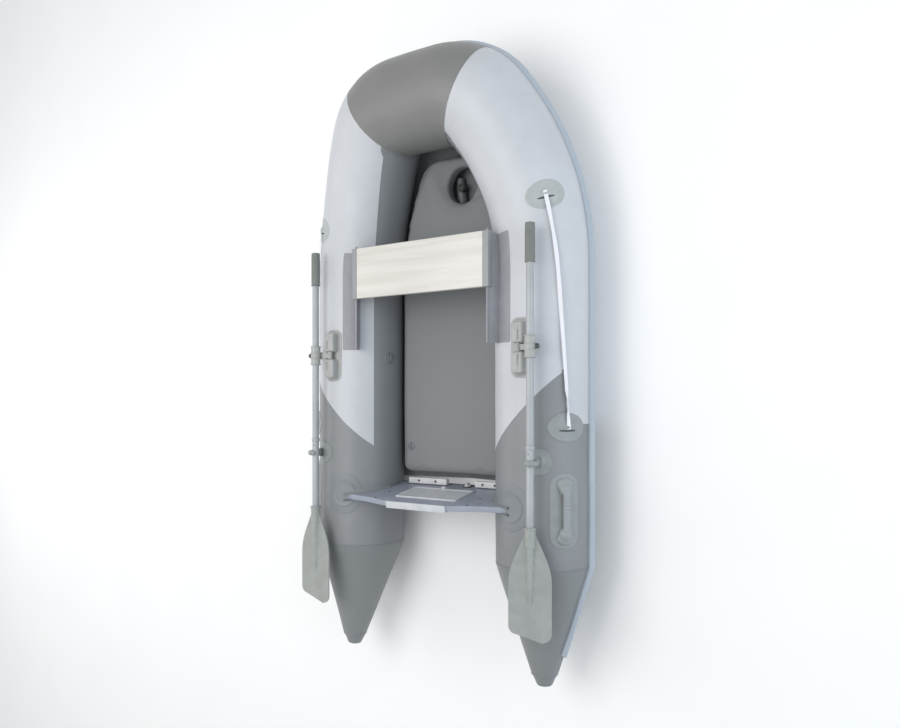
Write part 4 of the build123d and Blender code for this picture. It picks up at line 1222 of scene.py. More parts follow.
    def holders(self) -> None:
        """Fabric discs and angle strips that hold the board to the tubes."""
        aft = self.face_x - 2 * self.path.radius * math.tan(self.rake) + 0.003
        steps = [(0, 0.0), (0.0006, 0.0026), (0.002, 0.0038), (0.005, 0.004)]
        steps += [(0.009, 0.0034), (0.011, 0.0028)]
        steps += [(0.02, 0.0028), (0.03, 0.0028), (0.043, 0.0028), (0.057, 0.0028)]
        disc = Bench.pad("holder_disc", (self.disc_radius, self.disc_radius), self.disc_radius, steps)
        self.path.wrap(disc, along=aft, about=self.disc_angle)
        wide = 0.088
        thin = [(0, 0.0), (0.0004, 0.0012)]
        thin += [(inset, 0.0016) for inset in (0.003, 0.02, 0.035, 0.05, wide)]
        under = Bench.pad("holder_base", (wide, wide), wide, thin)
        self.path.wrap(under, along=aft, about=self.disc_angle, creased=True)
        strips = [disc, under]
        for start, side in ((0.0, 1), (-self.thickness, -1)):
            strip = Bench.cloth("strip", (0, 1), (-0.262, -0.055), (6, 40))
            flat = points(strip)
            row = np.rint(flat[:, 0] * 6).astype(int)
            out = np.array([0.022, 0.0125, 0.007, 0.004, 0.002, 0.0, 0.0])[row]
            rise = np.array([0.0005, 0.0014, 0.003, 0.0065, 0.0125, 0.0145, 0.0])[row]
            put(strip, np.column_stack([side * out, flat[:, 1], rise]))
            self.path.wrap(strip)
            spots = points(strip)
            spots[:, 0] += self.face_x - spots[:, 2] * math.tan(self.rake) + start
            put(strip, spots)
            Bench.modify(strip, "SOLIDIFY", thickness=0.0012, offset=0)
            strips.append(strip)
        self.fit_both(Bench.join("transom_holder", strips), Finish.TAPE, "hull", "transom_holders")

    def cleats(self) -> None:
        """Pale cleats over the floor's aft edge."""
        low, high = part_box("floor_cleats")
        pieces = []
        for start, end in ((0.025, 0.225), (-0.252, -0.118)):
            size = (high.x - low.x, end - start, high.z - low.z)
            at = ((high.x + low.x) / 2, (start + end) / 2, (high.z + low.z) / 2)
            pieces.append(Bench.block("cleat", size, at, 0.003))
        self.fit(Bench.join("cleats", pieces), Finish.CLEAT, "hull", "floor_cleats")


# ------------------------------------------------------------------ seat
@dataclass
class Seat(Assembly):
    """The seat board, its end tracks and the rails glued to the tubes."""

    track_width: float = 0.024
    bead_radius: float = 0.004
    strap: tuple[float, float] = (-38.0, -14.5)
    flap_foot: float = -35.0

    def build(self) -> None:
        """Build the seat."""
        self.board()
        self.tracks()
        self.rails()

    def board(self) -> None:
        """The seat board, with softly rounded edges."""
        low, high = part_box("seat_board")
        size, at = high - low, (low + high) / 2
        board = Bench.block("seat_plank", size, at, 0.0035)
        self.fit(board, Finish.SEAT, "seat", "seat_board")

    def tracks(self) -> None:
        """Channels along the seat's ends that slide on the beads."""
        low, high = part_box("seat_tracks")
        height = high.z - low.z
        middle = ((low.x + high.x) / 2, high.y - self.track_width / 2, (low.z + high.z) / 2)
        track = Bench.block("seat_channel", (high.x - low.x, self.track_width, height), middle, 0.002)
        bead_y, bead_z = middle[1], middle[2]
        ends = (low.x - 0.01, high.x + 0.01)
        aft, fore = ((x, bead_y, bead_z) for x in ends)
        bore = Bench.rod("bore", aft, fore, self.bead_radius + 0.0006)
        Bench.cut(track, bore)
        at = (middle[0], bead_y + 0.008, bead_z - 0.015)
        slot = Bench.block("slot", (high.x - low.x + 0.02, 0.0066, 0.03), at)
        Bench.cut(track, slot)
        for across in (-0.008, 0.0, 0.008):
            at = (middle[0], bead_y + across, high.z)
            Bench.cut(track, Bench.block("groove", (high.x - low.x + 0.02, 0.0022, 0.0016), at))
        self.fit_both(track, Finish.TRACK, "seat", "seat_tracks")

    def rails(self) -> None:
        """Strap on the tube, flap up from it and the bead along the flap's edge."""
        low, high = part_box("port_seat_rail")
        length = high.x - low.x
        middle = (self.strap[0] + self.strap[1]) / 2
        half = math.radians(self.strap[1] - self.strap[0]) / 2 * self.path.radius
        steps = [(0, 0.0), (0.0005, 0.0014), (0.002, 0.002), (0.006, 0.0021), (0.011, 0.0017), (0.02, 0.0017)]
        steps += [(0.03, 0.0017), (half, 0.0017)]
        strap = Bench.pad("strap", (length / 2, half), 0.006, steps)
        put(strap, points(strap) + (0, 0, 0.0013))
        self.path.wrap(strap, along=low.x + length / 2, about=middle, creased=True)
        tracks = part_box("seat_tracks")
        bead_y = tracks[1].y - self.track_width / 2
        bead_z = (tracks[0].z + tracks[1].z) / 2
        flap = Bench.cloth("flap", (low.x, high.x), (0, 1), (40, 10))
        flat = points(flap)
        lengths = np.array([self.path.length_at(x) for x in flat[:, 0]])
        centre, out, up, radius = self.path.stations(lengths)
        lean = math.radians(self.flap_foot)
        foot = centre + (out * math.sin(lean) + up * math.cos(lean)) * (radius[:, None] + 0.001)
        edge = np.column_stack([flat[:, 0], np.full(len(flat), bead_y), np.full(len(flat), bead_z)])
        share = flat[:, 1:2]
        put(flap, foot * (1 - share) + edge * share)
        Bench.modify(flap, "SOLIDIFY", thickness=0.0024, offset=0)
        aft, fore = ((x, bead_y, bead_z) for x in (low.x, high.x))
        bead = Bench.rod("bead", aft, fore, self.bead_radius, bevel=0.001)
        rail = Bench.join("rail", [strap, flap, bead])
        self.fit_both(rail, Finish.STRAP, "hull", "{}_seat_rail")


# ------------------------------------------------------------------ rowlocks and oars
@dataclass
class Rowlocks(Assembly):
    """The rowlock on each tube: its base, pin and turning hub."""

    length: float = 0.223
    width: float = 0.088
    block_width: float = 0.05
    corner: float = 0.032
    hub_radius: float = 0.011

    def build(self) -> None:
        """Build both rowlocks."""
        self.x = middle_of("port_rowlock_hub").x
        self.hub_z = 2 * self.path.radius + 0.022
        self.base(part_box("port_rowlock_base")[1].z)
        self.hub()
        self.dress("rowlock_pins", Finish.STEEL)

    def base(self, top: float) -> None:
        """Pad with a pale rim, and two rounded blocks with moulded pockets."""
        steps = [(0, 0.0), (0.0005, 0.0024), (0.002, 0.0036), (0.005, 0.004)]
        steps += [(0.0075, 0.0036), (0.009, 0.0026)]
        steps += [(0.011, 0.0024), (0.02, 0.0024), (0.03, 0.0024), (0.044, 0.0024)]
        pad = Bench.pad("pad", (self.length / 2, self.width / 2), self.corner, steps)
        self.path.wrap(pad, along=self.x)
        parts = [pad]
        inner, outer = 0.0155, self.length / 2 - 0.016
        floor = 2 * self.path.radius - 0.008
        for side in (-1, 1):
            at = (self.x + side * (inner + outer) / 2, self.path.offset, (top + floor) / 2)
            size = (outer - inner, self.block_width, top - floor)
            block = Bench.block("block", size, at)
            Bench.modify(block, "BEVEL", width=0.009, segments=5, limit_method="ANGLE")
            pocket_at = (self.x + side * (inner + 0.03), self.path.offset + 0.006, top + 0.002)
            pocket = Bench.block("pocket", (0.036, 0.009, 0.012), pocket_at, 0.002)
            Bench.cut(block, pocket)
            button_at = Vector((self.x + side * (outer - 0.022), self.path.offset - 0.004, top - 0.0012))
            button = Bench.rod("button", button_at, button_at + Vector((0, 0, 0.0026)), 0.009, bevel=0.001)
            parts += [block, button]
        self.fit_both(Bench.join("rowlock", parts), Finish.FITTING, "hull", "{}_rowlock_base")

    def hub(self) -> None:
        """Ribbed hub on the pin, its arm and the eye that carries the oar."""
        low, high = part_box("port_rowlock_hub")
        axis_y = self.path.offset
        aft, fore = ((x, axis_y, self.hub_z) for x in (low.x + 0.001, high.x - 0.001))
        parts = [Bench.rod("core", aft, fore, 0.0098)]
        for index in range(4):
            start = low.x + 0.0012 + index * 0.0076
            ends = ((start, axis_y, self.hub_z), (start + 0.0046, axis_y, self.hub_z))
            parts.append(Bench.rod("rib", *ends, self.hub_radius, bevel=0.0009))
        lean = Vector((0, math.sin(math.radians(30)), math.cos(math.radians(30))))
        across = Vector((0, lean.z, -lean.y))
        foot = self.oar_centre() - lean * 0.0308
        eye = Bench.rod("eye", foot, foot + lean * 0.008, 0.015, bevel=0.001)
        arm_end = foot - across * 0.0105 + lean * 0.004
        arm = Bench.block("arm", (0.022, 1, 0.008), (0, 0, 0), 0.0)
        start = Vector((self.x, axis_y + 0.006, self.hub_z))
        span = arm_end - start
        flat = points(arm)
        normal = Vector((0, -span.z, span.y)).normalized()
        spots = np.array(start)[None, :] + np.outer(flat[:, 1] + 0.5, span) + np.outer(flat[:, 2], normal)
        spots[:, 0] += flat[:, 0]
        put(arm, spots)
        Bench.outwards(arm)
        Bench.modify(arm, "BEVEL", width=0.001, segments=2, limit_method="ANGLE")
        hub = Bench.join("hub", [*parts, eye, arm])
        self.fit_both(hub, Finish.FITTING, "{}_rowlock", "{}_rowlock_hub")

    def oar_centre(self) -> Vector:
        """Where the oar's axis passes over the rowlock, on the port side."""
        grip = middle_of("port_oar_grip")
        return Vector((self.x, grip.y, grip.z))


@dataclass
class Oars(Assembly):
    """The two-piece oars in their sleeves, stowed along the tubes."""

    sleeve_radius: float = 0.02
    shaft_radius: float = 0.014
    grip_radius: float = 0.018
    blade_half: float = 0.0775
    slant: float = 0.03
    lean: float = math.radians(30)

    def build(self) -> None:
        """Build both oars."""
        self.y, self.z = middle_of("port_oar_grip").yz
        self.x = middle_of("port_rowlock_hub").x
        self.sleeve()
        self.clamp()
        self.shaft()
        self.grip()
        self.blade("port", 1)
        self.blade("starboard", -1)

    def at(self, reach: float) -> Vector:
        """Point on the oar's axis, this far aft of the rowlock."""
        return Vector((self.x - reach, self.y, self.z))

    def tube(
        self,
        name: str,
        fore: float,
        aft: float,
        radius: float,
        bevel: float = 0.0,
        tip: float | None = None,
    ) -> Piece:
        """A round length of oar between two distances aft of the rowlock."""
        return Bench.rod(name, self.at(fore), self.at(aft), radius, tip, bevel, 48)

    def sleeve(self) -> None:
        """Sleeve round the shaft with end flanges and two ribs, and its pivot."""
        low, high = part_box("port_oar_sleeve")
        fore, aft = self.x - high.x, self.x - low.x
        parts = [self.tube("barrel", fore, aft, self.sleeve_radius)]
        for start in (fore, -0.014, 0.010, aft - 0.0042):
            parts.append(self.tube("flange", start, start + 0.0042, self.sleeve_radius + 0.0025, 0.0009))
        boss = Vector((0, 1, 0))
        centre = self.at(0)
        parts.append(Bench.rod("boss", centre + boss * 0.016, centre + boss * 0.0238, 0.0072, bevel=0.0006))
        lean = Vector((0, math.sin(self.lean), math.cos(self.lean)))
        parts.append(Bench.rod("stem", centre - lean * 0.034, centre - lean * 0.018, 0.00595))
        parts.append(Bench.rod("washer", centre - lean * 0.0338, centre - lean * 0.0315, 0.009, bevel=0.0005))
        sleeve = Bench.join("sleeve", parts)
        self.fit_both(sleeve, Finish.FITTING, "{}_oar", "{}_oar_sleeve")

    def clamp(self) -> None:
        """Round fluted knob of the screw that grips the shaft."""
        centre = self.at(0)
        start = Vector((centre.x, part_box("port_clamp_knob")[1].y - 0.010, centre.z))
        knob = Bench.rod("knob", start, start + Vector((0, 0.010, 0)), 0.0096, 0.0088, 0.0014, 36)
        spots = points(knob)
        angle = np.arctan2(spots[:, 2] - centre.z, spots[:, 0] - centre.x)
        flute = 1 + 0.045 * np.cos(angle * 9)
        spots[:, 0] = centre.x + (spots[:, 0] - centre.x) * flute
        spots[:, 2] = centre.z + (spots[:, 2] - centre.z) * flute
        put(knob, spots)
        neck = Bench.rod("neck", start - Vector((0, 0.009, 0)), start, 0.003, sides=20)
        knob = Bench.join("knob_screw", [knob, neck])
        self.fit_both(knob, Finish.SHADOW, "{}_clamp", "{}_clamp_knob")

    def shaft(self) -> None:
        """Aluminium tube in two lengths, with a joint ring and its spring button."""
        fore = -0.430
        upper = self.tube("upper", fore, 0.356, self.shaft_radius, 0.0006)
        lower = self.tube("lower", 0.357, 0.709, self.shaft_radius, 0.0006)
        ring = self.tube("joint", 0.356, 0.370, self.shaft_radius + 0.0028, 0.001)
        button = Bench.ball("button", self.at(0.385) + Vector((0, 0, self.shaft_radius)), 0.0045)
        shaft = Bench.join("shaft", [upper, lower, ring, button])
        self.fit_both(shaft, Finish.SHAFT, "{}_oar", "{}_oar_shaft")

    def grip(self) -> None:
        """Rubber grip with shallow ribs, a rounded end and a rolled edge."""
        low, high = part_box("port_oar_grip")
        start, end = self.x - high.x, self.x - low.x
        grip = self.tube("handgrip", start, end, self.grip_radius, 0.004)
        ribs = [grip]
        for index in range(9):
            at = start + 0.02 + index * 0.0125
            ribs.append(self.tube("rib", at, at + 0.007, self.grip_radius + 0.0007, 0.0006))
        ribs.append(self.tube("roll", end - 0.005, end, self.grip_radius + 0.0016, 0.0015))
        self.fit_both(Bench.join("handgrip", ribs), Finish.GRIP, "{}_oar", "{}_oar_grip")

    def blade(self, side: str, longer: int) -> None:
        """Blade with a socket, a tapering spine and thickened edges.

        Args:
            side: port or starboard.
            longer: 1 where the end is longer inboard, -1 where it is longer outboard.
        """
        root, shoulder, tip = 0.665, 0.85, self.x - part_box(side + "_oar_blade")[0].x
        blade = Bench.cloth("sheet", (0, 1), (-1, 1), (70, 36))
        flat = points(blade)
        share, across = flat[:, 0], flat[:, 1]
        end = tip - self.slant * (0.5 - 0.5 * longer * across)
        reach = root + (end - root) * share
        swell = np.clip((reach - root) / (shoulder - root), 0, 1)
        wide = 0.0185 + (self.blade_half - 0.0185) * np.sin(swell * math.pi / 2) ** 1.25
        corner = 0.034
        from_end = np.clip(end - reach, 0, corner)
        wide = wide - corner + np.sqrt(corner**2 - (corner - from_end) ** 2)
        put(blade, np.column_stack([reach, across * wide, np.zeros_like(reach)]))
        Bench.modify(blade, "SOLIDIFY", thickness=0.0042, offset=0)
        spots = points(blade)
        face = np.sign(spots[:, 2])
        limit = np.interp(spots[:, 0], [root, shoulder, tip], [0.0185, self.blade_half, self.blade_half])
        edge = np.clip((np.abs(spots[:, 1]) - limit + 0.008) / 0.006, 0, 1)
        spine_half = np.interp(spots[:, 0], [root, 0.91, 0.945], [0.017, 0.008, 0.001])
        spine = np.clip(1 - (np.abs(spots[:, 1]) / spine_half) ** 2, 0, None)
        spine_rise = np.interp(spots[:, 0], [root, 0.91, 0.945], [0.016, 0.007, 0.0])
        spots[:, 2] += face * (0.0008 * edge + spine_rise * np.sqrt(spine))
        lean = 0.0 if side == "port" else self.lean
        up = Vector((0, math.sin(lean), math.cos(lean)))
        inboard = Vector((0, -up.z, up.y))
        centre = self.at(0)
        placed = np.array(centre)[None, :] + np.outer(spots[:, 1], inboard) + np.outer(spots[:, 2], up)
        placed[:, 0] = self.x - spots[:, 0]
        Bench.outwards(put(blade, placed))
        socket = self.tube("socket", 0.649, 0.72, 0.0205, 0.0012, 0.0186)
        lip = self.tube("lip", 0.648, 0.655, 0.0228, 0.0015)
        pin = Bench.ball("pin", self.at(0.785) + up * 0.0135, 0.0022)
        blade = Bench.join(side + "_blade", [blade, socket, lip, pin])
        if side == "starboard":
            put(blade, points(blade) * (1, -1, 1))
            blade.data.flip_normals()
        self.fit(blade, Finish.BLADE, side + "_oar", side + "_oar_blade")


# ------------------------------------------------------------------ fittings on the tubes
@dataclass
class Fittings(Assembly):
    """Keepers, handles, lifeline patches and valves."""

    handle: tuple[float, float] = (0.272, 0.112)
    handle_angle: float = 49.0
    handle_rise: float = 0.032
    keeper_angle: float = 20.0
    keeper_radius: float = 0.049
    valve_angle: float = -78.6

    def build(self) -> None:
        """Build every fitting."""
        self.handles()
        self.keepers()
        self.patches()
        self.valves()

    def handles(self) -> None:
        """Carrying handle: a stepped pad and a moulded grip with finger ridges."""
        x = middle_of("carry_handles").x
        length, width = self.handle
        steps = [(0, 0.0), (0.0006, 0.0018), (0.0025, 0.0024), (0.008, 0.0024)]
        steps += [(0.0095, 0.0034), (0.011, 0.004)]
        steps += [(0.014, 0.004), (0.022, 0.004), (0.032, 0.004), (0.044, 0.004), (width / 2, 0.004)]
        pad = Bench.pad("grip_pad", (length / 2, width / 2), 0.046, steps)
        self.path.wrap(pad, along=x, about=self.handle_angle)
        parts = [Bench.block("bar", (0.15, 0.026, 0.013), (0, 0, 0.0255), 0.006)]
        for side in (-1, 1):
            parts.append(Bench.ball("end", (side * 0.082, 0, 0.009), 0.03, (0.88, 0.78, 0.78)))
            parts.append(Bench.ball("knuckle", (side * 0.098, 0, 0.004), 0.03, (0.85, 1.05, 0.55)))
        grip = Bench.fuse(Bench.join("grip", parts), 0.0022, 8)
        spots = points(grip)
        ridge = np.cos(spots[:, 0] * 2 * math.pi / 0.0135) * np.clip(1.6 - np.abs(spots[:, 0]) / 0.034, 0, 1)
        on_bar = (spots[:, 2] > 0.02) * (np.abs(spots[:, 0]) < 0.055)
        spots[:, 2] = np.clip(spots[:, 2] + 0.0011 * ridge * on_bar, 0.0005, self.handle_rise)
        put(grip, spots)
        self.path.wrap(grip, along=x, about=self.handle_angle)
        self.fit_both(Bench.join("carry_grip", [pad, grip]), Finish.PATCH, "hull", "carry_handles", angle=60)

    def keepers(self) -> None:
        """Pad with a boss, and the rubber horn that reaches round the stowed oar."""
        x = middle_of("oar_keepers").x
        radius = self.keeper_radius
        steps = [(0, 0.0), (0.0005, 0.002), (0.002, 0.0032), (0.006, 0.0034)]
        steps += [(0.0085, 0.0026), (0.012, 0.0026)]
        steps += [(0.02, 0.003), (0.026, 0.005), (0.031, 0.0074), (0.036, 0.008), (radius, 0.008)]
        pad = Bench.pad("keeper_pad", (radius, radius), radius, steps)
        self.path.wrap(pad, along=x, about=self.keeper_angle)
        self.fit_both(pad, Finish.PATCH, "hull", "oar_keepers", angle=50)
        grip = middle_of("port_oar_grip")
        centre = Vector((x, grip.y, grip.z))
        foot, normal = self.path.spot(x, self.keeper_angle + 3.0, 0.006)
        horn = Bench.cloth("horn", (0, 1), (0, 1), (36, 24))
        flat = points(horn)
        share = flat[:, 0]
        start = math.atan2(foot.z - centre.z, foot.y - centre.y)
        sweep_to = start + math.radians(205)
        turn = start + (sweep_to - start) * np.clip((share - 0.12) / 0.88, 0, 1)
        reach = 0.0235
        middle_y = centre.y + np.cos(turn) * reach
        middle_z = centre.z + np.sin(turn) * reach
        blend_in = np.clip(1 - share / 0.2, 0, 1)
        middle_y = middle_y * (1 - blend_in) + foot.y * blend_in
        middle_z = middle_z * (1 - blend_in) + foot.z * blend_in
        marks, girths = [0, 0.15, 0.3, 0.85, 0.97, 1.0], [0.016, 0.0125, 0.0088, 0.0086, 0.006, 0.0002]
        girth = np.interp(share, marks, girths)
        around = flat[:, 1] * 2 * math.pi
        outward_y, outward_z = np.cos(turn), np.sin(turn)
        spots = np.column_stack(
            [
                x + girth * np.sin(around) * 1.25,
                middle_y + girth * np.cos(around) * outward_y,
                middle_z + girth * np.cos(around) * outward_z,
            ]
        )
        put(horn, spots)

        Bench.close(horn, 0.0001)
        horn.name = "keeper_horn"
        self.fit_both(horn, Finish.PATCH, "hull", "keeper_hooks", angle=60)
        for side, sign in zip(BOTH, (1, -1)):
            piece = bpy.data.objects[side + "_keeper_horn"]
            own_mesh(piece)

    def patches(self) -> None:
        """Oval patches with a lens-shaped slot that the lifeline passes through, the slot's inside shown by a
        dark lens of painted shade.
        """
        for place, x, angle, finish in (
            ("fore", 0.58, 35.0, Finish.PATCH_LIGHT),
            ("aft", -0.262, 52.0, Finish.PATCH),
        ):
            steps = [(0, 0.0), (0.0005, 0.0016), (0.002, 0.0028), (0.005, 0.0032)]
            steps += [(0.008, 0.0032), (0.0095, 0.0024), (0.012, 0.0022), (0.018, 0.0024)]
            steps += [(0.025, 0.0034), (0.032, 0.0048), (0.04, 0.006), (0.054, 0.0065)]
            patch = Bench.pad("patch", (0.054, 0.054), 0.054, steps)
            flat = points(patch) * (1, 75 / 54, 1)
            slot = -0.012
            beside = np.abs(flat[:, 1])
            mouth = np.exp(-(((flat[:, 0] - slot) / 0.006) ** 2))
            mouth = mouth * np.clip(1 - (beside / 0.034) ** 2, 0, 1)
            hood = np.exp(-(((flat[:, 0] - slot - 0.012) / 0.008) ** 2))
            hood = hood * np.clip(1 - (beside / 0.04) ** 2, 0, 1)
            top = flat[:, 2] > 0.001
            flat[:, 2] += np.where(top, 0.008 * hood - 0.0046 * mouth, 0)
            put(patch, flat)
            self.path.wrap(patch, along=self.path.length_at(x), about=angle)
            # painted shade: a dark lens laid in each patch's slot stands for the shade inside it
            lens = Bench.ball("lens", (slot + 0.001, 0, 0.0036), 0.0046, (1.0, 7.2, 0.5))
            self.path.wrap(lens, along=self.path.length_at(x), about=angle)
            patch.name = "line_patch_" + place
            self.fit_both(patch, finish, "hull", "lifeline_patches", angle=60)
            lens.name = "line_slot_" + place
            self.fit_both(lens, Finish.SHADOW, "hull")

    def valves(self) -> None:
        """Valve flanges and their bayonet caps."""
        x = middle_of("tube_valves").x
        steps = [(0, 0.0), (0.0005, 0.0022), (0.0018, 0.0036), (0.004, 0.004)]
        steps += [(0.006, 0.0038), (0.0085, 0.0038)]
        steps += [(0.012, 0.0038), (0.018, 0.0038), (0.025, 0.0038)]
        flange = Bench.pad("valve_ring", (0.025, 0.025), 0.025, steps)
        self.path.wrap(flange, along=x, about=self.valve_angle)
        self.fit_both(flange, Finish.VALVE, "hull", "tube_valves")
        at, normal = self.path.spot(x, self.valve_angle, 0.0043)
        self.fit_both(self.cap("valve_lid", at, normal, 0.017), Finish.VALVE, "{}_valve_cap", "{}_valve_cap")
        low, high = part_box("floor_valve_cap")
        base = Vector(((low.x + high.x) / 2, (low.y + high.y) / 2, low.z))
        self.fit(self.cap("floor_valve_lid", base, Vector((0, 0, 1)), 0.017), Finish.VALVE, "floor_valve_cap",
                 "floor_valve_cap")
        # painted shade: the keel valve's cap, deep in the well, is given the well's dark instead of the
        # valves' grey
        low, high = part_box("keel_valve_cap")
        base = Vector(((low.x + high.x) / 2, (low.y + high.y) / 2, low.z))
        self.fit(self.cap("keel_valve_lid", base, Vector((0, 0, 1)), 0.014), Finish.SHADOW, "keel_valve_cap",
                 "keel_valve_cap")
        self.dress("floor_valve", Finish.VALVE)
        # painted shade: the keel valve deep in the well is darkened as the well's shade
        self.dress("keel_valve", Finish.SHADOW)

    @staticmethod
    def cap(name: str, at: Vector, normal: Vector, radius: float) -> Piece:
        """A cap with a raised rim and two crossed finger bars."""
        lid = Bench.rod(name, at, at + normal * 0.0044, radius, bevel=0.001)
        rim = Bench.ring("rim", at + normal * 0.0038, normal, radius - 0.0022, 0.0009)
        turn = normal.to_track_quat("Z", "Y").to_matrix().to_4x4()
        bars = []
        for size in ((2 * radius - 0.006, 0.0045, 0.0045), (0.0045, 2 * radius - 0.010, 0.0032)):
            bar = Bench.block("bar", size, (0, 0, 0.0044 + size[2] / 2 - 0.0004), 0.001)
            bar.data.transform(Matrix.Translation(at) @ turn)
            bars.append(bar)
        return Bench.join(name, [lid, rim, *bars])


# ------------------------------------------------------------------ lifelines
@dataclass
class Lifelines(Assembly):
    """White webbing lines, from the fore patch to the aft one on each tube."""

    width: float = 0.016
    thickness: float = 0.0022
    length: float = 0.871
    route: tuple[tuple[float, float, float], ...] = (
        (0.592, 35.0, 0.0105),
        (0.498, 36.0, 0.0100),
        (0.360, 39.8, 0.0120),
        (0.202, 43.0, 0.0140),
        (0.035, 46.6, 0.0125),
        (-0.125, 50.2, 0.0110),
        (-0.268, 53.0, 0.0105),
    )

    def build(self) -> None:
        """Build both lines."""
        for side, sign in zip(BOTH, (1, -1)):
            self.line(side, sign)

    def centres(self, sign: int) -> tuple[Numbers, Numbers]:
        """Points along the line's smooth route, and the tube's outward direction at each."""
        stops = []
        for x, angle, rise in self.route:
            at, normal = self.path.spot(self.path.length_at(x), angle, rise)
            stops.append((Vector((at.x, sign * at.y, at.z)), Vector((normal.x, sign * normal.y, normal.z))))
        curve = bpy.data.curves.new("route", "CURVE")
        curve.dimensions = "3D"
        curve.resolution_u = 16
        line = curve.splines.new("NURBS")
        line.points.add(len(stops) - 1)
        for point, (at, _) in zip(line.points, stops):
            point.co = (*at, 1)
        line.order_u = 3
        line.use_endpoint_u = True
        carrier = bpy.data.objects.new("route", curve)
        mesh = bpy.data.meshes.new_from_object(carrier)
        spots = np.array([vertex.co for vertex in mesh.vertices])
        bpy.data.objects.remove(carrier)
        bpy.data.meshes.remove(mesh)
        along = np.array([at.x for at, _ in stops])[::-1]
        tilts = np.array([tuple(n) for _, n in stops])[::-1]
        normals = [np.interp(spots[:, 0], along, tilts[:, axis]) for axis in range(3)]
        return spots, np.column_stack(normals)

    def line(self, side: str, sign: int) -> None:
        """One line: flat tape that turns a little as it goes and curls at its edges."""
        spots, normals = self.centres(sign)
        steps = np.linalg.norm(np.diff(spots, axis=0), axis=1)
        walked = np.concatenate([[0], np.cumsum(steps)])
        total = walked[-1]
        even = np.linspace(0, total, 260)
        middle = np.column_stack([np.interp(even, walked, spots[:, axis]) for axis in range(3)])
        normal = np.column_stack([np.interp(even, walked, normals[:, axis]) for axis in range(3)])
        ahead = np.gradient(middle, axis=0)
        ahead /= np.linalg.norm(ahead, axis=1, keepdims=True)
        flat_way = np.cross(ahead, normal)
        flat_way /= np.linalg.norm(flat_way, axis=1, keepdims=True)
        face = np.cross(flat_way, ahead)
        share = even / total
        sway = 0.55 * np.sin(share * 9.0 + 0.6) * np.sin(share * math.pi)
        turn = sway + 0.35 * np.sin(share * 23.0) * share
        turn = turn + 1.05 * np.exp(-(((share - 0.9) / 0.035) ** 2))
        across = flat_way * np.cos(turn)[:, None] + face * np.sin(turn)[:, None]
        upright = np.cross(ahead, across) * -1
        width = self.width / 2 * (0.93 + 0.07 * np.sin(share * 31.0))
        columns = 16
        tape = Bench.cloth(side + "_line", (0, 1), (0, 1), (259, columns))
        flat = points(tape)
        row = np.rint(flat[:, 0] * 259).astype(int)
        around = flat[:, 1] * 2 * math.pi
        round_x = np.sign(np.cos(around)) * np.abs(np.cos(around)) ** 0.6
        round_y = np.sign(np.sin(around)) * np.abs(np.sin(around)) ** 0.6
        curl = 0.0009 * (round_x**2 - 0.4)
        placed = middle[row] + across[row] * (width[row] * round_x)[:, None]
        placed = placed + upright[row] * (self.thickness / 2 * round_y + curl)[:, None]
        Bench.chart(tape, np.column_stack([even[row], width[row] * round_x]))
        put(tape, placed)

        Bench.close(tape, 0.00005)
        self.fit(tape, Finish.LINE, "hull", side + "_lifeline", angle=60)


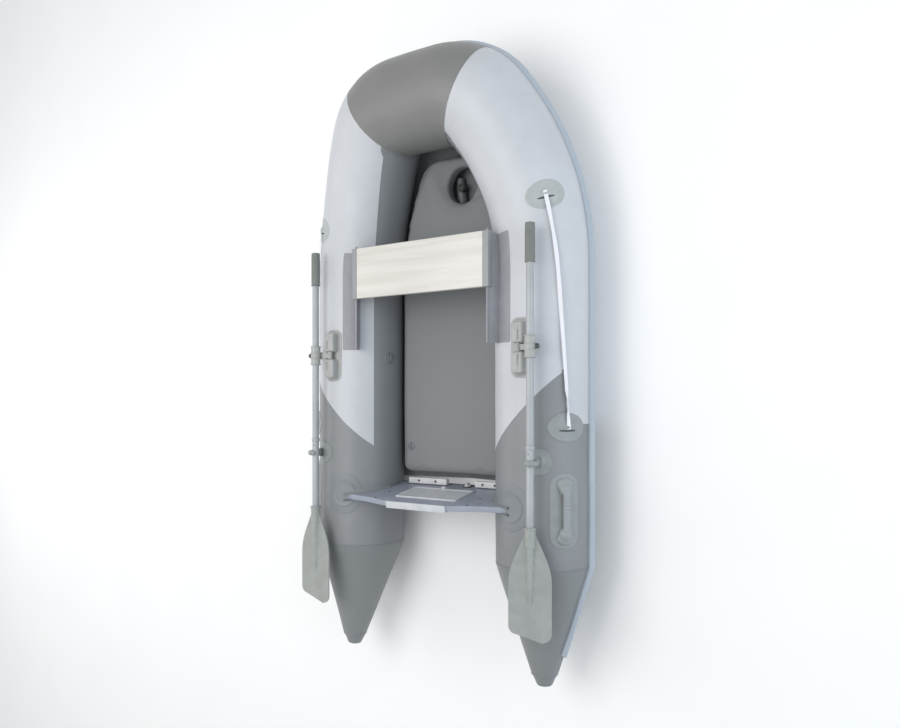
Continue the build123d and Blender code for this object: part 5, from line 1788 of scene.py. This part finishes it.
# ------------------------------------------------------------------ studio
@dataclass
class Studio:
    """The pale floor, the soft light and the camera."""

    eye: tuple[float, float, float] = (-0.168, -1.8463, 2.89695)
    tip: float = 0.594
    lens: float = 31.26
    shift: float = 0.0418

    def build(self) -> None:
        """Build the studio."""
        self.floor()
        self.lights()
        self.camera()

    def floor(self) -> None:
        """A wide pale floor under the boat."""
        Bench.clear()
        bpy.ops.mesh.primitive_plane_add(size=40, location=(0, 0, -0.0005))
        floor = Bench.named("studio_floor")
        paint = Paint("studio_floor")
        paper = paint.noise(paint.place(False), 3.0, 3.0)
        colour = paint.blend(paper, shade(247, 247, 248), shade(252, 252, 252))
        floor.data.materials.append(paint.finish(None, 0.0, Base_Color=colour, Roughness=0.95))
        floor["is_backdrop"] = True
        world = bpy.data.worlds.new("studio")
        world.use_nodes = True
        world.node_tree.nodes["Background"].inputs["Color"].default_value = (0.97, 0.985, 1.0, 1.0)
        world.node_tree.nodes["Background"].inputs["Strength"].default_value = 0.68
        bpy.context.scene.world = world

    def lights(self) -> None:
        """Large soft lamps: a key from above, a cool one from starboard and a fill from port."""
        lamps = (
            ("key", (0.4, 0.6, 4.2), 2.8, 74.0, (1.0, 0.985, 0.96)),
            ("cool", (0.2, -4.2, 1.5), 3.0, 52.0, (0.72, 0.87, 1.0)),
            ("port_fill", (0.0, 4.0, 2.2), 2.6, 26.0, (1.0, 0.99, 0.97)),
        )
        for name, at, size, power, colour in lamps:
            lamp = bpy.data.lights.new(name, "AREA")
            lamp.size = size
            lamp.energy = power
            lamp.color = colour
            carrier = bpy.data.objects.new(name, lamp)
            bpy.context.scene.collection.objects.link(carrier)
            carrier.location = at
            aim = Vector((0.1, 0, 0.2)) - Vector(at)
            carrier.rotation_euler = aim.to_track_quat("-Z", "Y").to_euler()

    def camera(self) -> None:
        """Camera above the starboard side, its top towards the bow."""
        view = Vector((0, math.sin(self.tip), -math.cos(self.tip)))
        right = Vector((0, -math.cos(self.tip), -math.sin(self.tip)))
        up = Vector((1, 0, 0))
        data = bpy.data.cameras.new("camera")
        data.lens = self.lens
        data.sensor_width = 36.0
        data.shift_y = self.shift
        camera = bpy.data.objects.new("camera", data)
        bpy.context.scene.collection.objects.link(camera)
        turn = Matrix((right, up, -view)).transposed().to_4x4()
        camera.matrix_world = Matrix.Translation(Vector(self.eye)) @ turn
        bpy.context.scene.camera = camera
        bpy.context.scene.view_settings.view_transform = "Standard"


def corners() -> list[list[float]]:
    """The shown object's box as plain lists."""
    return [list(corner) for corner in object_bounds()]


def main() -> None:
    """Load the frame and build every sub-assembly round it."""
    logging.basicConfig(level=logging.INFO, format="%(name)s %(message)s")
    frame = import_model()
    Studio().build()
    low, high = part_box("port_tube_aft")
    path = TubePath(
        radius=(high.z - low.z) / 2,
        offset=(high.y + low.y) / 2,
        cone_start=low.x,
        front=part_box("bow_tube")[1].x - (high.z - low.z) / 2,
    )
    log.info("tube radius %.4f, offset %.4f, middle %.4f", path.radius, path.offset, path.middle)
    for kind in (Lifelines, Hull, Floor, Transom, Seat, Rowlocks, Oars, Fittings):
        kind(path, frame).build()


if __name__ == "__main__":
    main()
